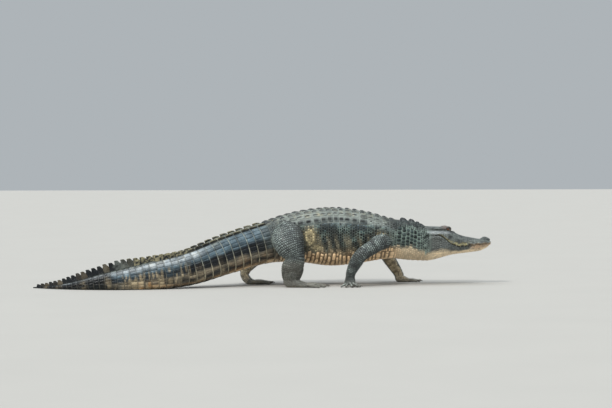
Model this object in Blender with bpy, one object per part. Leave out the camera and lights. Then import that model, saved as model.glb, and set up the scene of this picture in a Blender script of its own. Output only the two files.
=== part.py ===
"""An American alligator in its high walk, life size, with the tail dragging and one pair of legs swung apart.

Metres. +X is forward, +Y is the animal's left and +Z is up. The floor is at zero, and the origin is under the middle
of the model. The body is one tube along a bent spine, parted by flat cuts. Each limb is a tube of its own, cut clear
of what it grows from. Scutes, crests, teeth, toes and webs are fused to the piece that carries them.
"""

import math

import bmesh
import bpy
import numpy as np
from mathutils import Matrix, Vector

# The gap that touching pieces keep, how far a cutter is grown to leave it, and how deep fused roots are sunk.
GAP = 0.0003
GROWTH = 0.0005
ROOT = 0.008
# How high the edge of a scute stands.
EDGE = 0.0025

# The floor point under the middle of the model, in the animal's own measure along and across.
MIDDLE = (0.014, -0.035)

# The spine, from the tail tip to the nape: forward, left, height of the middle, half width, half depth, how high
# the widest level lies in the section (0 to 1), and how square the back is (2 is round).
SPINE = (
    (-1.545, -0.130, 0.0035, 0.004, 0.0055, 0.50, 2.0),
    (-1.373, -0.255, 0.0135, 0.016, 0.0165, 0.42, 1.8),
    (-1.080, -0.350, 0.0530, 0.035, 0.0560, 0.38, 1.8),
    (-0.779, -0.325, 0.0880, 0.058, 0.0910, 0.40, 2.1),
    (-0.520, -0.225, 0.1290, 0.082, 0.1130, 0.42, 2.5),
    (-0.258, -0.112, 0.2120, 0.108, 0.1270, 0.44, 2.7),
    (0.008, -0.030, 0.2860, 0.140, 0.1360, 0.46, 2.7),
    (0.257, 0.010, 0.3260, 0.174, 0.1720, 0.46, 2.5),
    (0.480, 0.030, 0.3260, 0.198, 0.1960, 0.46, 2.4),
    (0.700, 0.014, 0.3240, 0.178, 0.1720, 0.46, 2.4),
    (0.880, 0.000, 0.3120, 0.144, 0.1350, 0.46, 2.3),
    (1.020, 0.000, 0.2960, 0.127, 0.1310, 0.44, 2.3),
    (1.115, 0.000, 0.2810, 0.119, 0.1200, 0.42, 2.3),
)
BELLY_SQUARENESS = 2.3

# Where the body is parted: forward positions of the cuts between its lengths.
NAPE = 1.115
UPRIGHT_FROM = 0.930
SHOULDER_CUT = 0.905
VENT_CUT = 0.030
TAIL_CUTS = {"tail_root": -0.420, "tail_middle": -0.780, "tail_bend": -1.080, "tail_rear": -1.320, "tail_tip": -1.545}
TAIL_TIP = -1.545

BODY_SIDES = 22
TAIL_SIDES = 14

# Rows of scales: the length of a row on the back and neck, and of a whorl at the root and tip of the tail.
BACK_ROW = 0.049
WHORL_ROOT = 0.057
WHORL_TIP = 0.026
WHORL_STEP = 0.0022

# The head, from the nape forward: forward, top, lip, chin, half width of the upper jaw and of the lower jaw.
HEAD = (
    (1.115, 0.397, 0.325, 0.161, 0.1200, 0.1200),
    (1.180, 0.395, 0.337, 0.171, 0.1245, 0.1240),
    (1.245, 0.389, 0.317, 0.189, 0.1170, 0.1165),
    (1.300, 0.362, 0.277, 0.203, 0.0990, 0.0925),
    (1.352, 0.339, 0.259, 0.210, 0.0860, 0.0730),
    (1.430, 0.318, 0.270, 0.219, 0.0760, 0.0620),
    (1.515, 0.308, 0.275, 0.233, 0.0740, 0.0590),
    (1.575, 0.300, 0.279, 0.258, 0.0720, 0.0560),
)
SNOUT_TIP = 1.575
CHIN_TIP = 1.564
SNOUT_ROUNDING = 0.085
TABLE_END = 1.262
TABLE_HALF_WIDTH = 0.065
TABLE_STEP = 0.030
HEAD_SIDES = 28
HEAD_RINGS = 21
JAW_RINGS = 15
JAW_SIDES = 18
# How far the lower jaw reaches up before it is cut clear of the upper one.
JAW_OVERLAP = 0.003

EYE = (1.266, 0.057, 0.3790)
EYE_RADIUS = 0.0145
BROW_RADII = (0.036, 0.0245, 0.0205)
LID_OPENING = (0.0145, 0.0130, 0.0080)
NOSTRIL = (1.534, 0.014, 0.3195)
NOSTRIL_RADII = (0.0075, 0.0050, 0.0060)
NOSTRIL_MOUND = (0.037, 0.034, 0.016)
EAR = (1.196, 0.0690, 0.3800)
EAR_RADII = (0.034, 0.0040, 0.0065)
EAR_SLIT_RADII = (0.036, 0.0070, 0.0028)
TEETH_EACH_SIDE = 12
TOOTH_LENGTH = 0.0065
TOOTH_RADIUS = 0.0036

# The limbs: forward, left, height, half width fore and aft, half width across. Left values are for the right side
# where they are negative. The second index is the knee or elbow, where the limb is parted.
HIND_RIGHT = (
    (0.125, -0.050, 0.350, 0.098, 0.080),
    (0.148, -0.140, 0.340, 0.108, 0.078),
    (0.172, -0.208, 0.272, 0.098, 0.062),
    (0.202, -0.236, 0.195, 0.062, 0.046),
    (0.184, -0.243, 0.135, 0.074, 0.045),
    (0.174, -0.240, 0.075, 0.065, 0.038),
    (0.171, -0.236, 0.031, 0.043, 0.027),
)
HIND_LEFT = (
    (0.125, 0.050, 0.345, 0.095, 0.080),
    (0.115, 0.150, 0.330, 0.098, 0.070),
    (0.055, 0.200, 0.268, 0.080, 0.058),
    (-0.008, 0.214, 0.205, 0.058, 0.045),
    (-0.058, 0.196, 0.158, 0.056, 0.040),
    (-0.100, 0.158, 0.112, 0.046, 0.034),
    (-0.114, 0.136, 0.076, 0.038, 0.030),
)
FORE_RIGHT = (
    (0.850, -0.050, 0.315, 0.066, 0.055),
    (0.800, -0.140, 0.300, 0.056, 0.047),
    (0.722, -0.208, 0.262, 0.047, 0.040),
    (0.648, -0.238, 0.216, 0.044, 0.037),
    (0.606, -0.240, 0.158, 0.042, 0.034),
    (0.579, -0.236, 0.102, 0.033, 0.028),
    (0.572, -0.234, 0.068, 0.029, 0.025),
)
FORE_LEFT = (
    (0.850, 0.050, 0.310, 0.064, 0.055),
    (0.852, 0.135, 0.290, 0.056, 0.047),
    (0.864, 0.212, 0.245, 0.047, 0.040),
    (0.884, 0.250, 0.196, 0.043, 0.036),
    (0.920, 0.254, 0.140, 0.041, 0.033),
    (0.958, 0.250, 0.082, 0.035, 0.029),
    (0.984, 0.247, 0.034, 0.030, 0.026),
)
LIMB_PART = 3
LIMB_SIDES = 14

# The feet: heel, wrist or ankle, ball, as forward, left, height, half width across and half thickness.
HIND_FOOT_RIGHT = (
    (0.114, -0.231, 0.022, 0.014, 0.016),
    (0.132, -0.232, 0.028, 0.030, 0.031),
    (0.170, -0.234, 0.032, 0.038, 0.034),
    (0.225, -0.238, 0.023, 0.046, 0.026),
    (0.280, -0.242, 0.012, 0.051, 0.016),
)
HIND_FOOT_LEFT = (
    (-0.126, 0.131, 0.104, 0.024, 0.026),
    (-0.120, 0.128, 0.080, 0.029, 0.029),
    (-0.112, 0.124, 0.054, 0.034, 0.030),
    (-0.090, 0.118, 0.028, 0.043, 0.026),
    (-0.055, 0.112, 0.013, 0.048, 0.016),
)
FORE_FOOT_RIGHT = (
    (0.574, -0.230, 0.094, 0.018, 0.016),
    (0.573, -0.231, 0.084, 0.027, 0.023),
    (0.572, -0.234, 0.064, 0.031, 0.022),
    (0.570, -0.240, 0.040, 0.036, 0.019),
    (0.567, -0.250, 0.020, 0.038, 0.014),
)
FORE_FOOT_LEFT = (
    (0.952, 0.243, 0.018, 0.014, 0.014),
    (0.966, 0.244, 0.022, 0.026, 0.022),
    (0.990, 0.246, 0.024, 0.031, 0.024),
    (1.022, 0.250, 0.016, 0.037, 0.018),
    (1.048, 0.253, 0.010, 0.038, 0.012),
)

# The digits, inner one first: heading in degrees away from straight ahead, outwards, length from the ball of the
# foot, and radius at the root. Only the inner three bear a claw.
HIND_TOES = ((-22, 0.103, 0.0150), (-6, 0.130, 0.0155), (9, 0.126, 0.0145), (27, 0.098, 0.0120))
FORE_FINGERS = (
    (-42, 0.055, 0.0115),
    (-18, 0.074, 0.0120),
    (4, 0.078, 0.0115),
    (28, 0.070, 0.0100),
    (56, 0.054, 0.0090),
)
CLAWED_DIGITS = 3
CLAW_LENGTH = 0.030
CLAW_RADIUS = 0.0058
WEB_THICKNESS = 0.0045
# How far each foot is turned outwards from straight ahead, in degrees.
HIND_TURN_RIGHT = 8
HIND_TURN_LEFT = 20
FORE_TURN_RIGHT = 80
FORE_TURN_LEFT = 8

SLATE = (0.060, 0.075, 0.075, 1.0)
TAIL_SLATE = (0.045, 0.060, 0.070, 1.0)
HEAD_GREY = (0.090, 0.095, 0.100, 1.0)
LIMB_GREY = (0.105, 0.115, 0.110, 1.0)
JAW_TAN = (0.300, 0.260, 0.200, 1.0)
EYE_BROWN = (0.120, 0.040, 0.015, 1.0)
CLAW_DARK = (0.050, 0.045, 0.040, 1.0)


def smooth(rows, at, column):
    """A column of a station table, read by a smooth curve through its values."""
    table = np.asarray(rows, float)
    x, v = table[:, 0], table[:, column]
    slope = np.gradient(v, x)
    i = np.clip(np.searchsorted(x, at) - 1, 0, len(x) - 2)
    span = x[i + 1] - x[i]
    t = np.clip((at - x[i]) / span, 0, 1)
    start = (1 + 2 * t) * (1 - t) ** 2 * v[i] + t * (1 - t) ** 2 * span * slope[i]
    end = t * t * (3 - 2 * t) * v[i + 1] - t * t * (1 - t) * span * slope[i + 1]
    return start + end


def step(low, high, at):
    """0 below low, 1 above high, and a smooth step between."""
    t = min(1.0, max(0.0, (at - low) / (high - low)))
    return t * t * (3 - 2 * t)


def superellipse(angle, squareness):
    """Across and up on a unit curve that is round at squareness 2 and boxier above it."""
    c, s = math.cos(angle), math.sin(angle)
    power = 2.0 / squareness
    return math.copysign(abs(c) ** power, c), math.copysign(abs(s) ** power, s)


def placed(x, y, z):
    """A point of the animal's own measure, in the model's frame."""
    return Vector((x - MIDDLE[0], y - MIDDLE[1], z))


def spine_frame(x):
    """The middle of the body at a forward position, and its forward, left and up directions there."""
    middle = placed(x, smooth(SPINE, x, 1), smooth(SPINE, x, 2))
    reach = 0.01
    low, high = max(x - reach, TAIL_TIP), min(x + reach, NAPE)
    forward = Vector(
        (high - low, smooth(SPINE, high, 1) - smooth(SPINE, low, 1), smooth(SPINE, high, 2) - smooth(SPINE, low, 2))
    ).normalized()
    # The sections turn upright towards the nape, where they meet the head.
    forward = forward.lerp(Vector((1, 0, 0)), step(UPRIGHT_FROM, NAPE, x)).normalized()
    left = Vector((0, 0, 1)).cross(forward).normalized()
    return middle, forward, left, forward.cross(left)


def skin(x, angle, swell=0.0):
    """A point on the body's surface. Angle 0 is the left side and a quarter turn is the back."""
    middle, _, left, up = spine_frame(x)
    half_width = smooth(SPINE, x, 3) + swell
    depth = 2 * smooth(SPINE, x, 4)
    level = smooth(SPINE, x, 5)
    if math.sin(angle) >= 0:
        across, high = superellipse(angle, smooth(SPINE, x, 6))
        reach = depth * (1 - level) + swell
    else:
        across, high = superellipse(angle, BELLY_SQUARENESS)
        reach = depth * level + swell
    return middle + left * half_width * across + up * (depth * (level - 0.5) + reach * high)


def side_angle(x, girth):
    """The angle of the point that lies this far round from the middle of the back, to the left where it is positive."""
    angles = np.radians(np.linspace(90, -40, 60))
    points = [skin(x, a) for a in angles]
    lengths = [0.0]
    for a, b in zip(points, points[1:]):
        lengths.append(lengths[-1] + (b - a).length)
    angle = float(np.interp(abs(girth), lengths, angles))
    return angle if girth >= 0 else math.pi - angle


def skin_frame(x, girth, swell=0.0):
    """A matrix on the body's surface: x forward, y to the left along the skin, z outwards."""
    angle = side_angle(x, girth)
    nudge = 0.02
    point = skin(x, angle, swell)
    forward = (skin(x + 0.008, angle) - skin(x - 0.008, angle)).normalized()
    across = (skin(x, angle - nudge) - skin(x, angle + nudge)).normalized()
    outward = forward.cross(across).normalized()
    return Matrix.Translation(point) @ Matrix((forward, outward.cross(forward), outward)).transposed().to_4x4()


def rows_along(start, end, first, last):
    """Forward positions that part the spine from start back to end in rows, first long at the start."""
    forward = np.linspace(start, end, 600)
    points = [spine_frame(x)[0] for x in forward]
    lengths = np.cumsum([0.0] + [(b - a).length for a, b in zip(points, points[1:])])
    count = round(lengths[-1] / ((first + last) / 2))
    widths = np.linspace(first, last, count)
    marks = np.concatenate([[0.0], np.cumsum(widths)]) * lengths[-1] / widths.sum()
    return np.interp(marks, lengths, forward)


def finish(bm, name, colour, roughness=0.5):
    """The bmesh as an object of its own, in triangles that face outwards, with its material."""
    bmesh.ops.triangulate(bm, faces=bm.faces)
    if bm.calc_volume(signed=True) < 0:
        bmesh.ops.reverse_faces(bm, faces=bm.faces)
    mesh = bpy.data.meshes.new(name)
    bm.to_mesh(mesh)
    bm.free()
    obj = bpy.data.objects.new(name, mesh)
    model.objects.link(obj)
    key = "finish_{:.3f}_{:.3f}_{:.3f}".format(*colour[:3])
    material = bpy.data.materials.get(key)
    if material is None:
        material = bpy.data.materials.new(key)
        material.use_nodes = True
        shader = material.node_tree.nodes["Principled BSDF"]
        shader.inputs["Base Color"].default_value = colour
        shader.inputs["Roughness"].default_value = roughness
        shader.inputs["Metallic"].default_value = 0.0
    mesh.materials.append(material)
    return obj


def lofted(name, rings, sides, place, colour, roughness=0.5):
    """A closed cylinder of rings and sides whose vertices are moved to place(share of the length, angle)."""
    bm = bmesh.new()
    bmesh.ops.create_cone(bm, cap_ends=True, segments=sides, radius1=1, radius2=1, depth=1)
    upright = [e for e in bm.edges if abs(e.verts[0].co.z - e.verts[1].co.z) > 0.5]
    if rings > 2:
        bmesh.ops.subdivide_edges(bm, edges=upright, cuts=rings - 2)
    for v in bm.verts:
        v.co = place(min(1.0, max(0.0, v.co.z + 0.5)), math.atan2(v.co.y, v.co.x) % (2 * math.pi))
    return finish(bm, name, colour, roughness)


def ellipsoid(name, centre, radii, colour, segments=14, rings=8):
    """A stretched ball about a point of the animal's own measure."""
    bm = bmesh.new()
    bmesh.ops.create_uvsphere(bm, u_segments=segments, v_segments=rings, radius=1)
    for v in bm.verts:
        v.co = placed(*centre) + Vector(a * b for a, b in zip(v.co, radii))
    return finish(bm, name, colour)


def plate(name, frame, levels, colour):
    """A four-cornered plate through levels of (height, half length, half width, shift forward)."""

    def place(share, angle):
        height, length, width, shift = levels[round(share * (len(levels) - 1))]
        corner = angle + math.radians(45)
        along = math.copysign(length, math.cos(corner)) + shift
        return frame @ Vector((along, math.copysign(width, math.sin(corner)), height))

    return lofted(name, len(levels), 4, place, colour)


def remove(obj):
    bpy.data.objects.remove(obj)


def apply_boolean(obj, others, operation, solver="MANIFOLD"):
    """Joins or cuts obj by the other objects, as its own mesh, and removes them."""
    together = bpy.data.collections.new(obj.name + "_tools")
    bpy.context.scene.collection.children.link(together)
    for other in others:
        together.objects.link(other)
        model.objects.unlink(other)
    modifier = obj.modifiers.new(operation.lower(), "BOOLEAN")
    modifier.operation = operation
    modifier.operand_type = "COLLECTION"
    modifier.collection = together
    modifier.solver = solver
    bpy.context.view_layer.update()
    graph = bpy.context.evaluated_depsgraph_get()
    mesh = bpy.data.meshes.new_from_object(obj.evaluated_get(graph))
    obj.modifiers.remove(modifier)
    obj.data = mesh
    for other in others:
        remove(other)
    bpy.data.collections.remove(together)
    keep_largest(obj)


def keep_largest(obj):
    """Leaves only the closed surface with the largest box."""
    bm = bmesh.new()
    bm.from_mesh(obj.data)
    unseen, surfaces = set(bm.verts), []
    while unseen:
        start = unseen.pop()
        found, front = {start}, [start]
        while front:
            for edge in front.pop().link_edges:
                for v in edge.verts:
                    if v in unseen:
                        unseen.remove(v)
                        found.add(v)
                        front.append(v)
        surfaces.append(found)

    def size(found):
        points = np.array([v.co for v in found])
        return float(np.linalg.norm(points.max(0) - points.min(0)))

    surfaces.sort(key=size)
    for scrap in surfaces[:-1]:
        bmesh.ops.delete(bm, geom=list(scrap), context="VERTS")
    bm.to_mesh(obj.data)
    bm.free()


def grown(obj, distance=GROWTH):
    """A copy of obj that stands the gap proud of it on every side."""
    bm = bmesh.new()
    bm.from_mesh(obj.data)
    bm.normal_update()
    for v in bm.verts:
        v.co += v.normal * v.calc_shell_factor() * distance
    mesh = bpy.data.meshes.new(obj.name + "_grown")
    bm.to_mesh(mesh)
    bm.free()
    copy = bpy.data.objects.new(obj.name + "_grown", mesh)
    model.objects.link(copy)
    return copy


def cut_clear(obj, *others):
    """Cuts obj back from its neighbours, with the gap left between them."""
    for other in others:
        apply_boolean(obj, [grown(other)], "DIFFERENCE")


def stand_on_floor(obj):
    """Cuts off what lies below the floor, which leaves a flat to stand on."""
    bm = bmesh.new()
    bmesh.ops.create_cube(bm, size=1)
    for v in bm.verts:
        v.co = Vector((v.co.x * 5, v.co.y * 3, v.co.z * 0.5 - 0.25))
    apply_boolean(obj, [finish(bm, "floor_cutter", SLATE)], "DIFFERENCE")


def body_length(name, marks, sides, colour):
    """A length of the body between its outer marks, with a ring at every other mark."""
    rings = sorted({*marks[::2], marks[-1]})
    rings[0] += GAP / 2
    rings[-1] -= GAP / 2

    def place(share, angle):
        return skin(rings[round(share * (len(rings) - 1))], angle)

    return lofted(name, len(rings), sides, place, colour)


def whorled_length(name, marks, sides, colour):
    """A length of the tail between its outer marks, with a shallow step where every other whorl of scales ends."""
    low, high = min(marks), max(marks)
    rings = [(low + GAP / 2, 0.0)]
    for i, mark in enumerate(sorted(marks)[1:-1]):
        if i % 2:
            rings += [(mark - 0.003, 0.0), (mark + 0.001, WHORL_STEP)]
    rings.append((high - GAP / 2, WHORL_STEP))

    def place(share, angle):
        x, raised = rings[round(share * (len(rings) - 1))]
        return skin(x, angle, raised)

    return lofted(name, len(rings), sides, place, colour)


def keeled_scutes(prefix, x, row, girths, width, keel, colour):
    """A row of keeled plates across the back, each with its root sunk in the skin."""
    made = []
    for i, girth in enumerate(girths):
        half = row / 2 - 0.003
        ridge = keel * (1.0 if i % 2 else 0.92)
        levels = (
            (-ROOT, half * 0.94, width / 2 * 0.94, 0),
            (EDGE, half, width / 2, 0),
            (ridge, half * 0.46, 0.0020, -half * 0.36),
        )
        made.append(plate(f"{prefix}_{i}", skin_frame(x, girth), levels, colour))
    return made


def knobs(prefix, x, length, girths, width, height, colour):
    """A row of low pointed scales, lighter than the keeled plates."""
    made = []
    for i, girth in enumerate(girths):
        levels = ((-ROOT, length / 2, width / 2, 0), (height, length * 0.16, width * 0.10, -length * 0.16))
        made.append(plate(f"{prefix}_{i}", skin_frame(x, girth), levels, colour))
    return made


def crest_fin(name, x, girth, length, height, thickness, colour):
    """An upright scute of the tail's crest, leaning back to its point."""
    half = length / 2
    levels = (
        (-ROOT, half * 0.92, thickness * 0.60, 0),
        (height * 0.55, half * 0.80, thickness * 0.42, -half * 0.18),
        (height, half * 0.26, thickness * 0.14, -half * 0.72),
    )
    frame = skin_frame(x, girth)
    upright = Vector((0, 0, 1)) if abs(girth) < 1e-6 else (frame.to_3x3() @ Vector((0, 0, 1)) + Vector((0, 0, 1)))
    forward = frame.to_3x3() @ Vector((1, 0, 0))
    left = upright.cross(forward).normalized()
    outward = forward.cross(left)
    turned = Matrix.Translation(frame.translation) @ Matrix((forward, left, outward)).transposed().to_4x4()
    return plate(name, turned, levels, colour)


def make_neck():
    marks = rows_along(NAPE, SHOULDER_CUT, 0.040, BACK_ROW)
    neck = body_length("neck", marks, BODY_SIDES, SLATE)
    pieces = []
    # Two pairs of large nape scutes, a lesser pair before them and small ones at the sides.
    for x, girth, row, width, keel in (
        (0.962, 0.029, 0.058, 0.052, 0.026),
        (1.022, 0.028, 0.054, 0.050, 0.025),
        (1.068, 0.024, 0.042, 0.038, 0.018),
        (0.986, 0.080, 0.040, 0.034, 0.014),
        (1.040, 0.076, 0.036, 0.030, 0.012),
        (0.926, 0.062, 0.034, 0.030, 0.011),
        (1.094, 0.017, 0.030, 0.028, 0.010),
        (1.092, 0.050, 0.030, 0.028, 0.009),
    ):
        pieces += keeled_scutes(f"nape_{len(pieces)}", x, row, (girth, -girth), width, keel, SLATE)
    # Knobbed scales in rows down the sides of the neck.
    for i, mark in enumerate(marks[1:-2]):
        for j in range(2):
            girth = 0.122 + 0.046 * j + 0.012 * (i % 2)
            pieces += knobs(f"side_{i}_{j}", mark - 0.018, 0.042, (girth, -girth), 0.040, 0.0075, SLATE)
    apply_boolean(neck, pieces, "UNION")
    return neck


def scutes_across(row, rows):
    """How many scutes a row of the back has on each side: three, but two at the shoulders and hips."""
    return 3 if 0.10 < row / (rows - 1) < 0.88 else 2


def make_torso():
    marks = rows_along(SHOULDER_CUT, VENT_CUT, BACK_ROW, BACK_ROW)
    torso = body_length("torso", marks, BODY_SIDES, SLATE)
    pieces = []
    rows = len(marks) - 1
    for row in range(rows):
        x = (marks[row] + marks[row + 1]) / 2
        spacing = 0.036 + 0.010 * math.sin(math.pi * row / (rows - 1))
        for i in range(scutes_across(row, rows)):
            girths = (spacing * (i + 0.5), -spacing * (i + 0.5))
            if i < 2:
                pieces += keeled_scutes(f"back_{row}_{i}", x, BACK_ROW, girths, spacing - 0.005, 0.0125, SLATE)
            else:
                pieces += knobs(f"back_{row}_{i}", x, BACK_ROW, girths, spacing, 0.0100, SLATE)
    apply_boolean(torso, pieces, "UNION")
    return torso


def crest_height(share):
    """How high the tail's crest stands, from the root of the tail to its tip."""
    return float(np.interp(share, (0, 0.35, 0.52, 0.62, 0.80, 1.0), (0.015, 0.021, 0.038, 0.053, 0.051, 0.013)))


def make_tail():
    marks = rows_along(VENT_CUT, TAIL_TIP, WHORL_ROOT, WHORL_TIP)
    high, lengths = VENT_CUT, []
    for name, cut in TAIL_CUTS.items():
        low = min(marks, key=lambda m: abs(m - cut))
        inside = [m for m in marks if low - 1e-9 <= m <= high + 1e-9]
        high = low
        length = whorled_length(name, inside, TAIL_SIDES, TAIL_SLATE)
        pieces = []
        for front, back in zip(inside, inside[1:]):
            x = (front + back) / 2
            row = math.dist(spine_frame(front)[0], spine_frame(back)[0])
            share = (VENT_CUT - x) / (VENT_CUT - TAIL_TIP)
            height = crest_height(share)
            if share < 0.50:
                # The two crests run together towards the middle of the tail.
                girth = 0.056 * (1 - share / 0.50) + 0.010
                for side in (girth, -girth):
                    pieces.append(crest_fin(f"{name}_crest_{len(pieces)}", x, side, row * 0.94, height, 0.011, TAIL_SLATE))
                if share < 0.22:
                    pieces += keeled_scutes(f"{name}_mid_{len(pieces)}", x, row, (0.021, -0.021), 0.030, 0.009, TAIL_SLATE)
            elif share < 0.985:
                thick = 0.010 * (1.25 - share)
                pieces.append(crest_fin(f"{name}_crest_{len(pieces)}", x, 0, row * 0.96, height, thick, TAIL_SLATE))
        apply_boolean(length, pieces, "UNION")
        stand_on_floor(length)
        lengths.append(length)
    return lengths


def rounding(x, tip):
    """How far the plan outline has closed in at a forward position, 1 before the rounding and 0 at the tip."""
    t = min(1.0, max(0.0, 1 - (tip - x) / SNOUT_ROUNDING))
    return (1 - t**2.4) ** (1 / 2.1)


def head_stations(tip, rings):
    """Forward positions from the nape to the tip, closer together towards the tip."""
    shares = np.linspace(0, 1, rings)
    shares = np.sin(shares * math.pi / 2 * 0.985) / math.sin(math.pi / 2 * 0.985)
    return NAPE + GAP / 2 + shares * (tip - NAPE - GAP / 2)


def skull_point(x, share):
    """A point of the upper head, whose share runs from the right lip over the top, and back under the palate."""
    closing = rounding(x, SNOUT_TIP)
    top, lip = smooth(HEAD, x, 1), smooth(HEAD, x, 2)
    half = max(0.006, smooth(HEAD, x, 4) * closing)
    top = lip + (top - lip) * (0.35 + 0.65 * closing)
    over = 24 / HEAD_SIDES
    if share <= over:
        angle = math.pi * (1 - share / over)
        across, high = superellipse(angle, 2.5 + 0.7 * step(1.30, 1.22, x))
        y, z = half * across, lip + (top - lip) * high
        # The flat skull table stands above the temples, and ends behind the eyes.
        behind = 1 - step(TABLE_END - 0.03, TABLE_END + 0.02, x)
        beside = step(TABLE_HALF_WIDTH - 0.004, TABLE_HALF_WIDTH + 0.010, abs(y))
        z -= TABLE_STEP * behind * beside * step(lip, lip + 0.045, z)
    else:
        t = (share - over) / (1 - over)
        y, z = half * (1 - 2 * t), lip
    return placed(x, y, z)


def jaw_point(x, share):
    """A point of the lower jaw, whose share runs over its top from the left, and back under the chin."""
    closing = rounding(x, CHIN_TIP)
    lip, chin = smooth(HEAD, x, 2) + JAW_OVERLAP, smooth(HEAD, x, 3)
    half = max(0.005, smooth(HEAD, x, 5) * closing)
    chin = lip - (lip - chin) * (0.45 + 0.55 * closing)
    over = 4 / JAW_SIDES
    if share < over:
        return placed(x, half * (1 - 2 * share / over), lip)
    across, high = superellipse(math.pi * (share - over) / (1 - over) - math.pi, 2.7)
    return placed(x, half * across, lip + (lip - chin) * high)


def make_teeth():
    """The upper teeth, which show outside the lower jaw when the mouth is shut."""
    made = []
    for i in range(TEETH_EACH_SIDE):
        share = i / (TEETH_EACH_SIDE - 1)
        x = 1.285 + (SNOUT_TIP - 0.012 - 1.285) * share**0.85
        size = 0.8 + 0.35 * math.sin(2.4 * math.pi * share + 0.6)
        lip = smooth(HEAD, x, 2)
        inset = TOOTH_RADIUS + 0.0008
        half = smooth(HEAD, x, 4) * rounding(x, SNOUT_TIP) - inset
        for side in (1, -1):

            def place(along, angle, x=x, half=half, lip=lip, size=size, side=side):
                radius = TOOTH_RADIUS * (1 - 0.75 * along)
                drop = 0.006 - (0.006 + TOOTH_LENGTH * size) * along
                return placed(x + radius * math.cos(angle), side * half + radius * math.sin(angle), lip + drop)

            made.append(lofted(f"tooth_{i}_{side}", 2, 4, place, JAW_TAN))
    return made


def mirrored(point, side):
    """A point given for the left side, on the side asked for."""
    return point[0], side * point[1], point[2]


def make_head():
    stations = head_stations(SNOUT_TIP, HEAD_RINGS)

    def place(share, angle):
        x = stations[round(share * (HEAD_RINGS - 1))]
        return skull_point(x, angle / (2 * math.pi))

    head = lofted("head", HEAD_RINGS, HEAD_SIDES, place, HEAD_GREY)
    mounds = [ellipsoid("nostril_mound", (NOSTRIL[0], 0, NOSTRIL[2] - NOSTRIL_MOUND[2]), NOSTRIL_MOUND, HEAD_GREY)]
    for side in (1, -1):
        centre = (EYE[0], side * (EYE[1] - 0.005), EYE[2] - 0.001)
        mounds.append(ellipsoid(f"brow_{side}", centre, BROW_RADII, HEAD_GREY, 14, 7))
    apply_boolean(head, mounds + make_teeth(), "UNION")
    for side, word in ((1, "left"), (-1, "right")):
        eye = ellipsoid(f"eye_{word}", mirrored(EYE, side), (EYE_RADIUS,) * 3, EYE_BROWN, 14, 8)
        ear = ellipsoid(f"ear_flap_{word}", mirrored(EAR, side), EAR_RADII, HEAD_GREY, 10, 6)
        x, y, z = mirrored(EAR, side)
        slit = ellipsoid(f"ear_slit_{side}", (x, y, z - EAR_RADII[2]), EAR_SLIT_RADII, HEAD_GREY, 10, 4)
        x, y, z = mirrored(EYE, side)
        opening = ellipsoid(f"lids_{side}", (x, y + side * EYE_RADIUS, z), LID_OPENING, HEAD_GREY, 12, 8)
        nostril = ellipsoid(f"nostril_{side}", mirrored(NOSTRIL, side), NOSTRIL_RADII, HEAD_GREY, 10, 6)
        apply_boolean(head, [grown(eye), grown(ear), opening, nostril, slit], "DIFFERENCE")
    return head


def make_lower_jaw(head):
    stations = head_stations(CHIN_TIP, JAW_RINGS)

    def place(share, angle):
        return jaw_point(stations[round(share * (JAW_RINGS - 1))], angle / (2 * math.pi))

    jaw = lofted("lower_jaw", JAW_RINGS, JAW_SIDES, place, JAW_TAN)
    cut_clear(jaw, head)


def path_point(knots, at):
    """A row of values read smoothly between knots, at a place counted in knots."""
    rows = np.asarray([(i, *row) for i, row in enumerate(knots)], float)
    return [float(smooth(rows, at, column)) for column in range(1, rows.shape[1])]


def limb_frame(knots, at, flat):
    """The middle and directions of a limb: along it, fore and aft, and across, which lies near the flat direction."""
    ahead, behind = min(at + 0.05, len(knots) - 1), max(at - 0.05, 0)
    along = (Vector(path_point(knots, ahead)[:3]) - Vector(path_point(knots, behind)[:3])).normalized()
    across = (flat - along * flat.dot(along)).normalized()
    return placed(*path_point(knots, at)[:3]), along, across.cross(along), across


def tube_along(name, knots, start, end, rings, sides, flat, colour, squareness=2.2):
    """A tube through a stretch of the knots, whose last two values are its half widths, with its share of the gap."""
    last = len(knots) - 1

    def place(share, angle):
        at = start + (end - start) * share
        middle, along, aft, across = limb_frame(knots, at, flat)
        if share == 0 and start > 0:
            middle += along * GAP
        elif share == 1 and end < last:
            middle -= along * GAP
        wide, thick = path_point(knots, at)[3:5]
        a, b = superellipse(angle, squareness)
        return middle + aft * wide * a + across * thick * b

    return lofted(name, rings, sides, place, colour)


def make_limb(upper_name, lower_name, knots, body):
    """The upper and lower length of a limb, parted at the knee or elbow, with the upper one cut to the body."""
    side = math.copysign(1, knots[1][1])
    flat = Vector((0, side, 0.25 if knots[0][0] > 0.5 else 0.15))
    upper = tube_along(upper_name, knots, 0, LIMB_PART, 9, LIMB_SIDES, flat, LIMB_GREY)
    lower = tube_along(lower_name, knots, LIMB_PART, len(knots) - 1, 8, LIMB_SIDES, flat, LIMB_GREY)
    cut_clear(upper, lower, *body)
    return lower


def make_digit(name, root, heading, length, radius, drop):
    """A tapering digit with knuckles, from the ball of the foot down to the floor."""
    direction = Vector((math.cos(heading), math.sin(heading), 0))
    across = Vector((-direction.y, direction.x, 0))
    start = Vector(root) - direction * 0.03

    def place(share, angle):
        knuckle = 1 + 0.08 * math.cos(share * 4 * math.pi)
        thick = radius * (1 - 0.42 * share) * knuckle * (1 if share < 0.99 else 0.62)
        reach = (length + 0.03) * share
        height = root[2] * (1 - share) + drop * share + radius * 0.5 * math.sin(math.pi * share)
        point = start + direction * reach
        point.z = height
        return placed(*(point + across * thick * math.cos(angle) + Vector((0, 0, thick * math.sin(angle)))))

    tip = start + direction * (length + 0.03)
    tip.z = drop
    return lofted(name, 5, 6, place, LIMB_GREY), tip, direction


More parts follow.
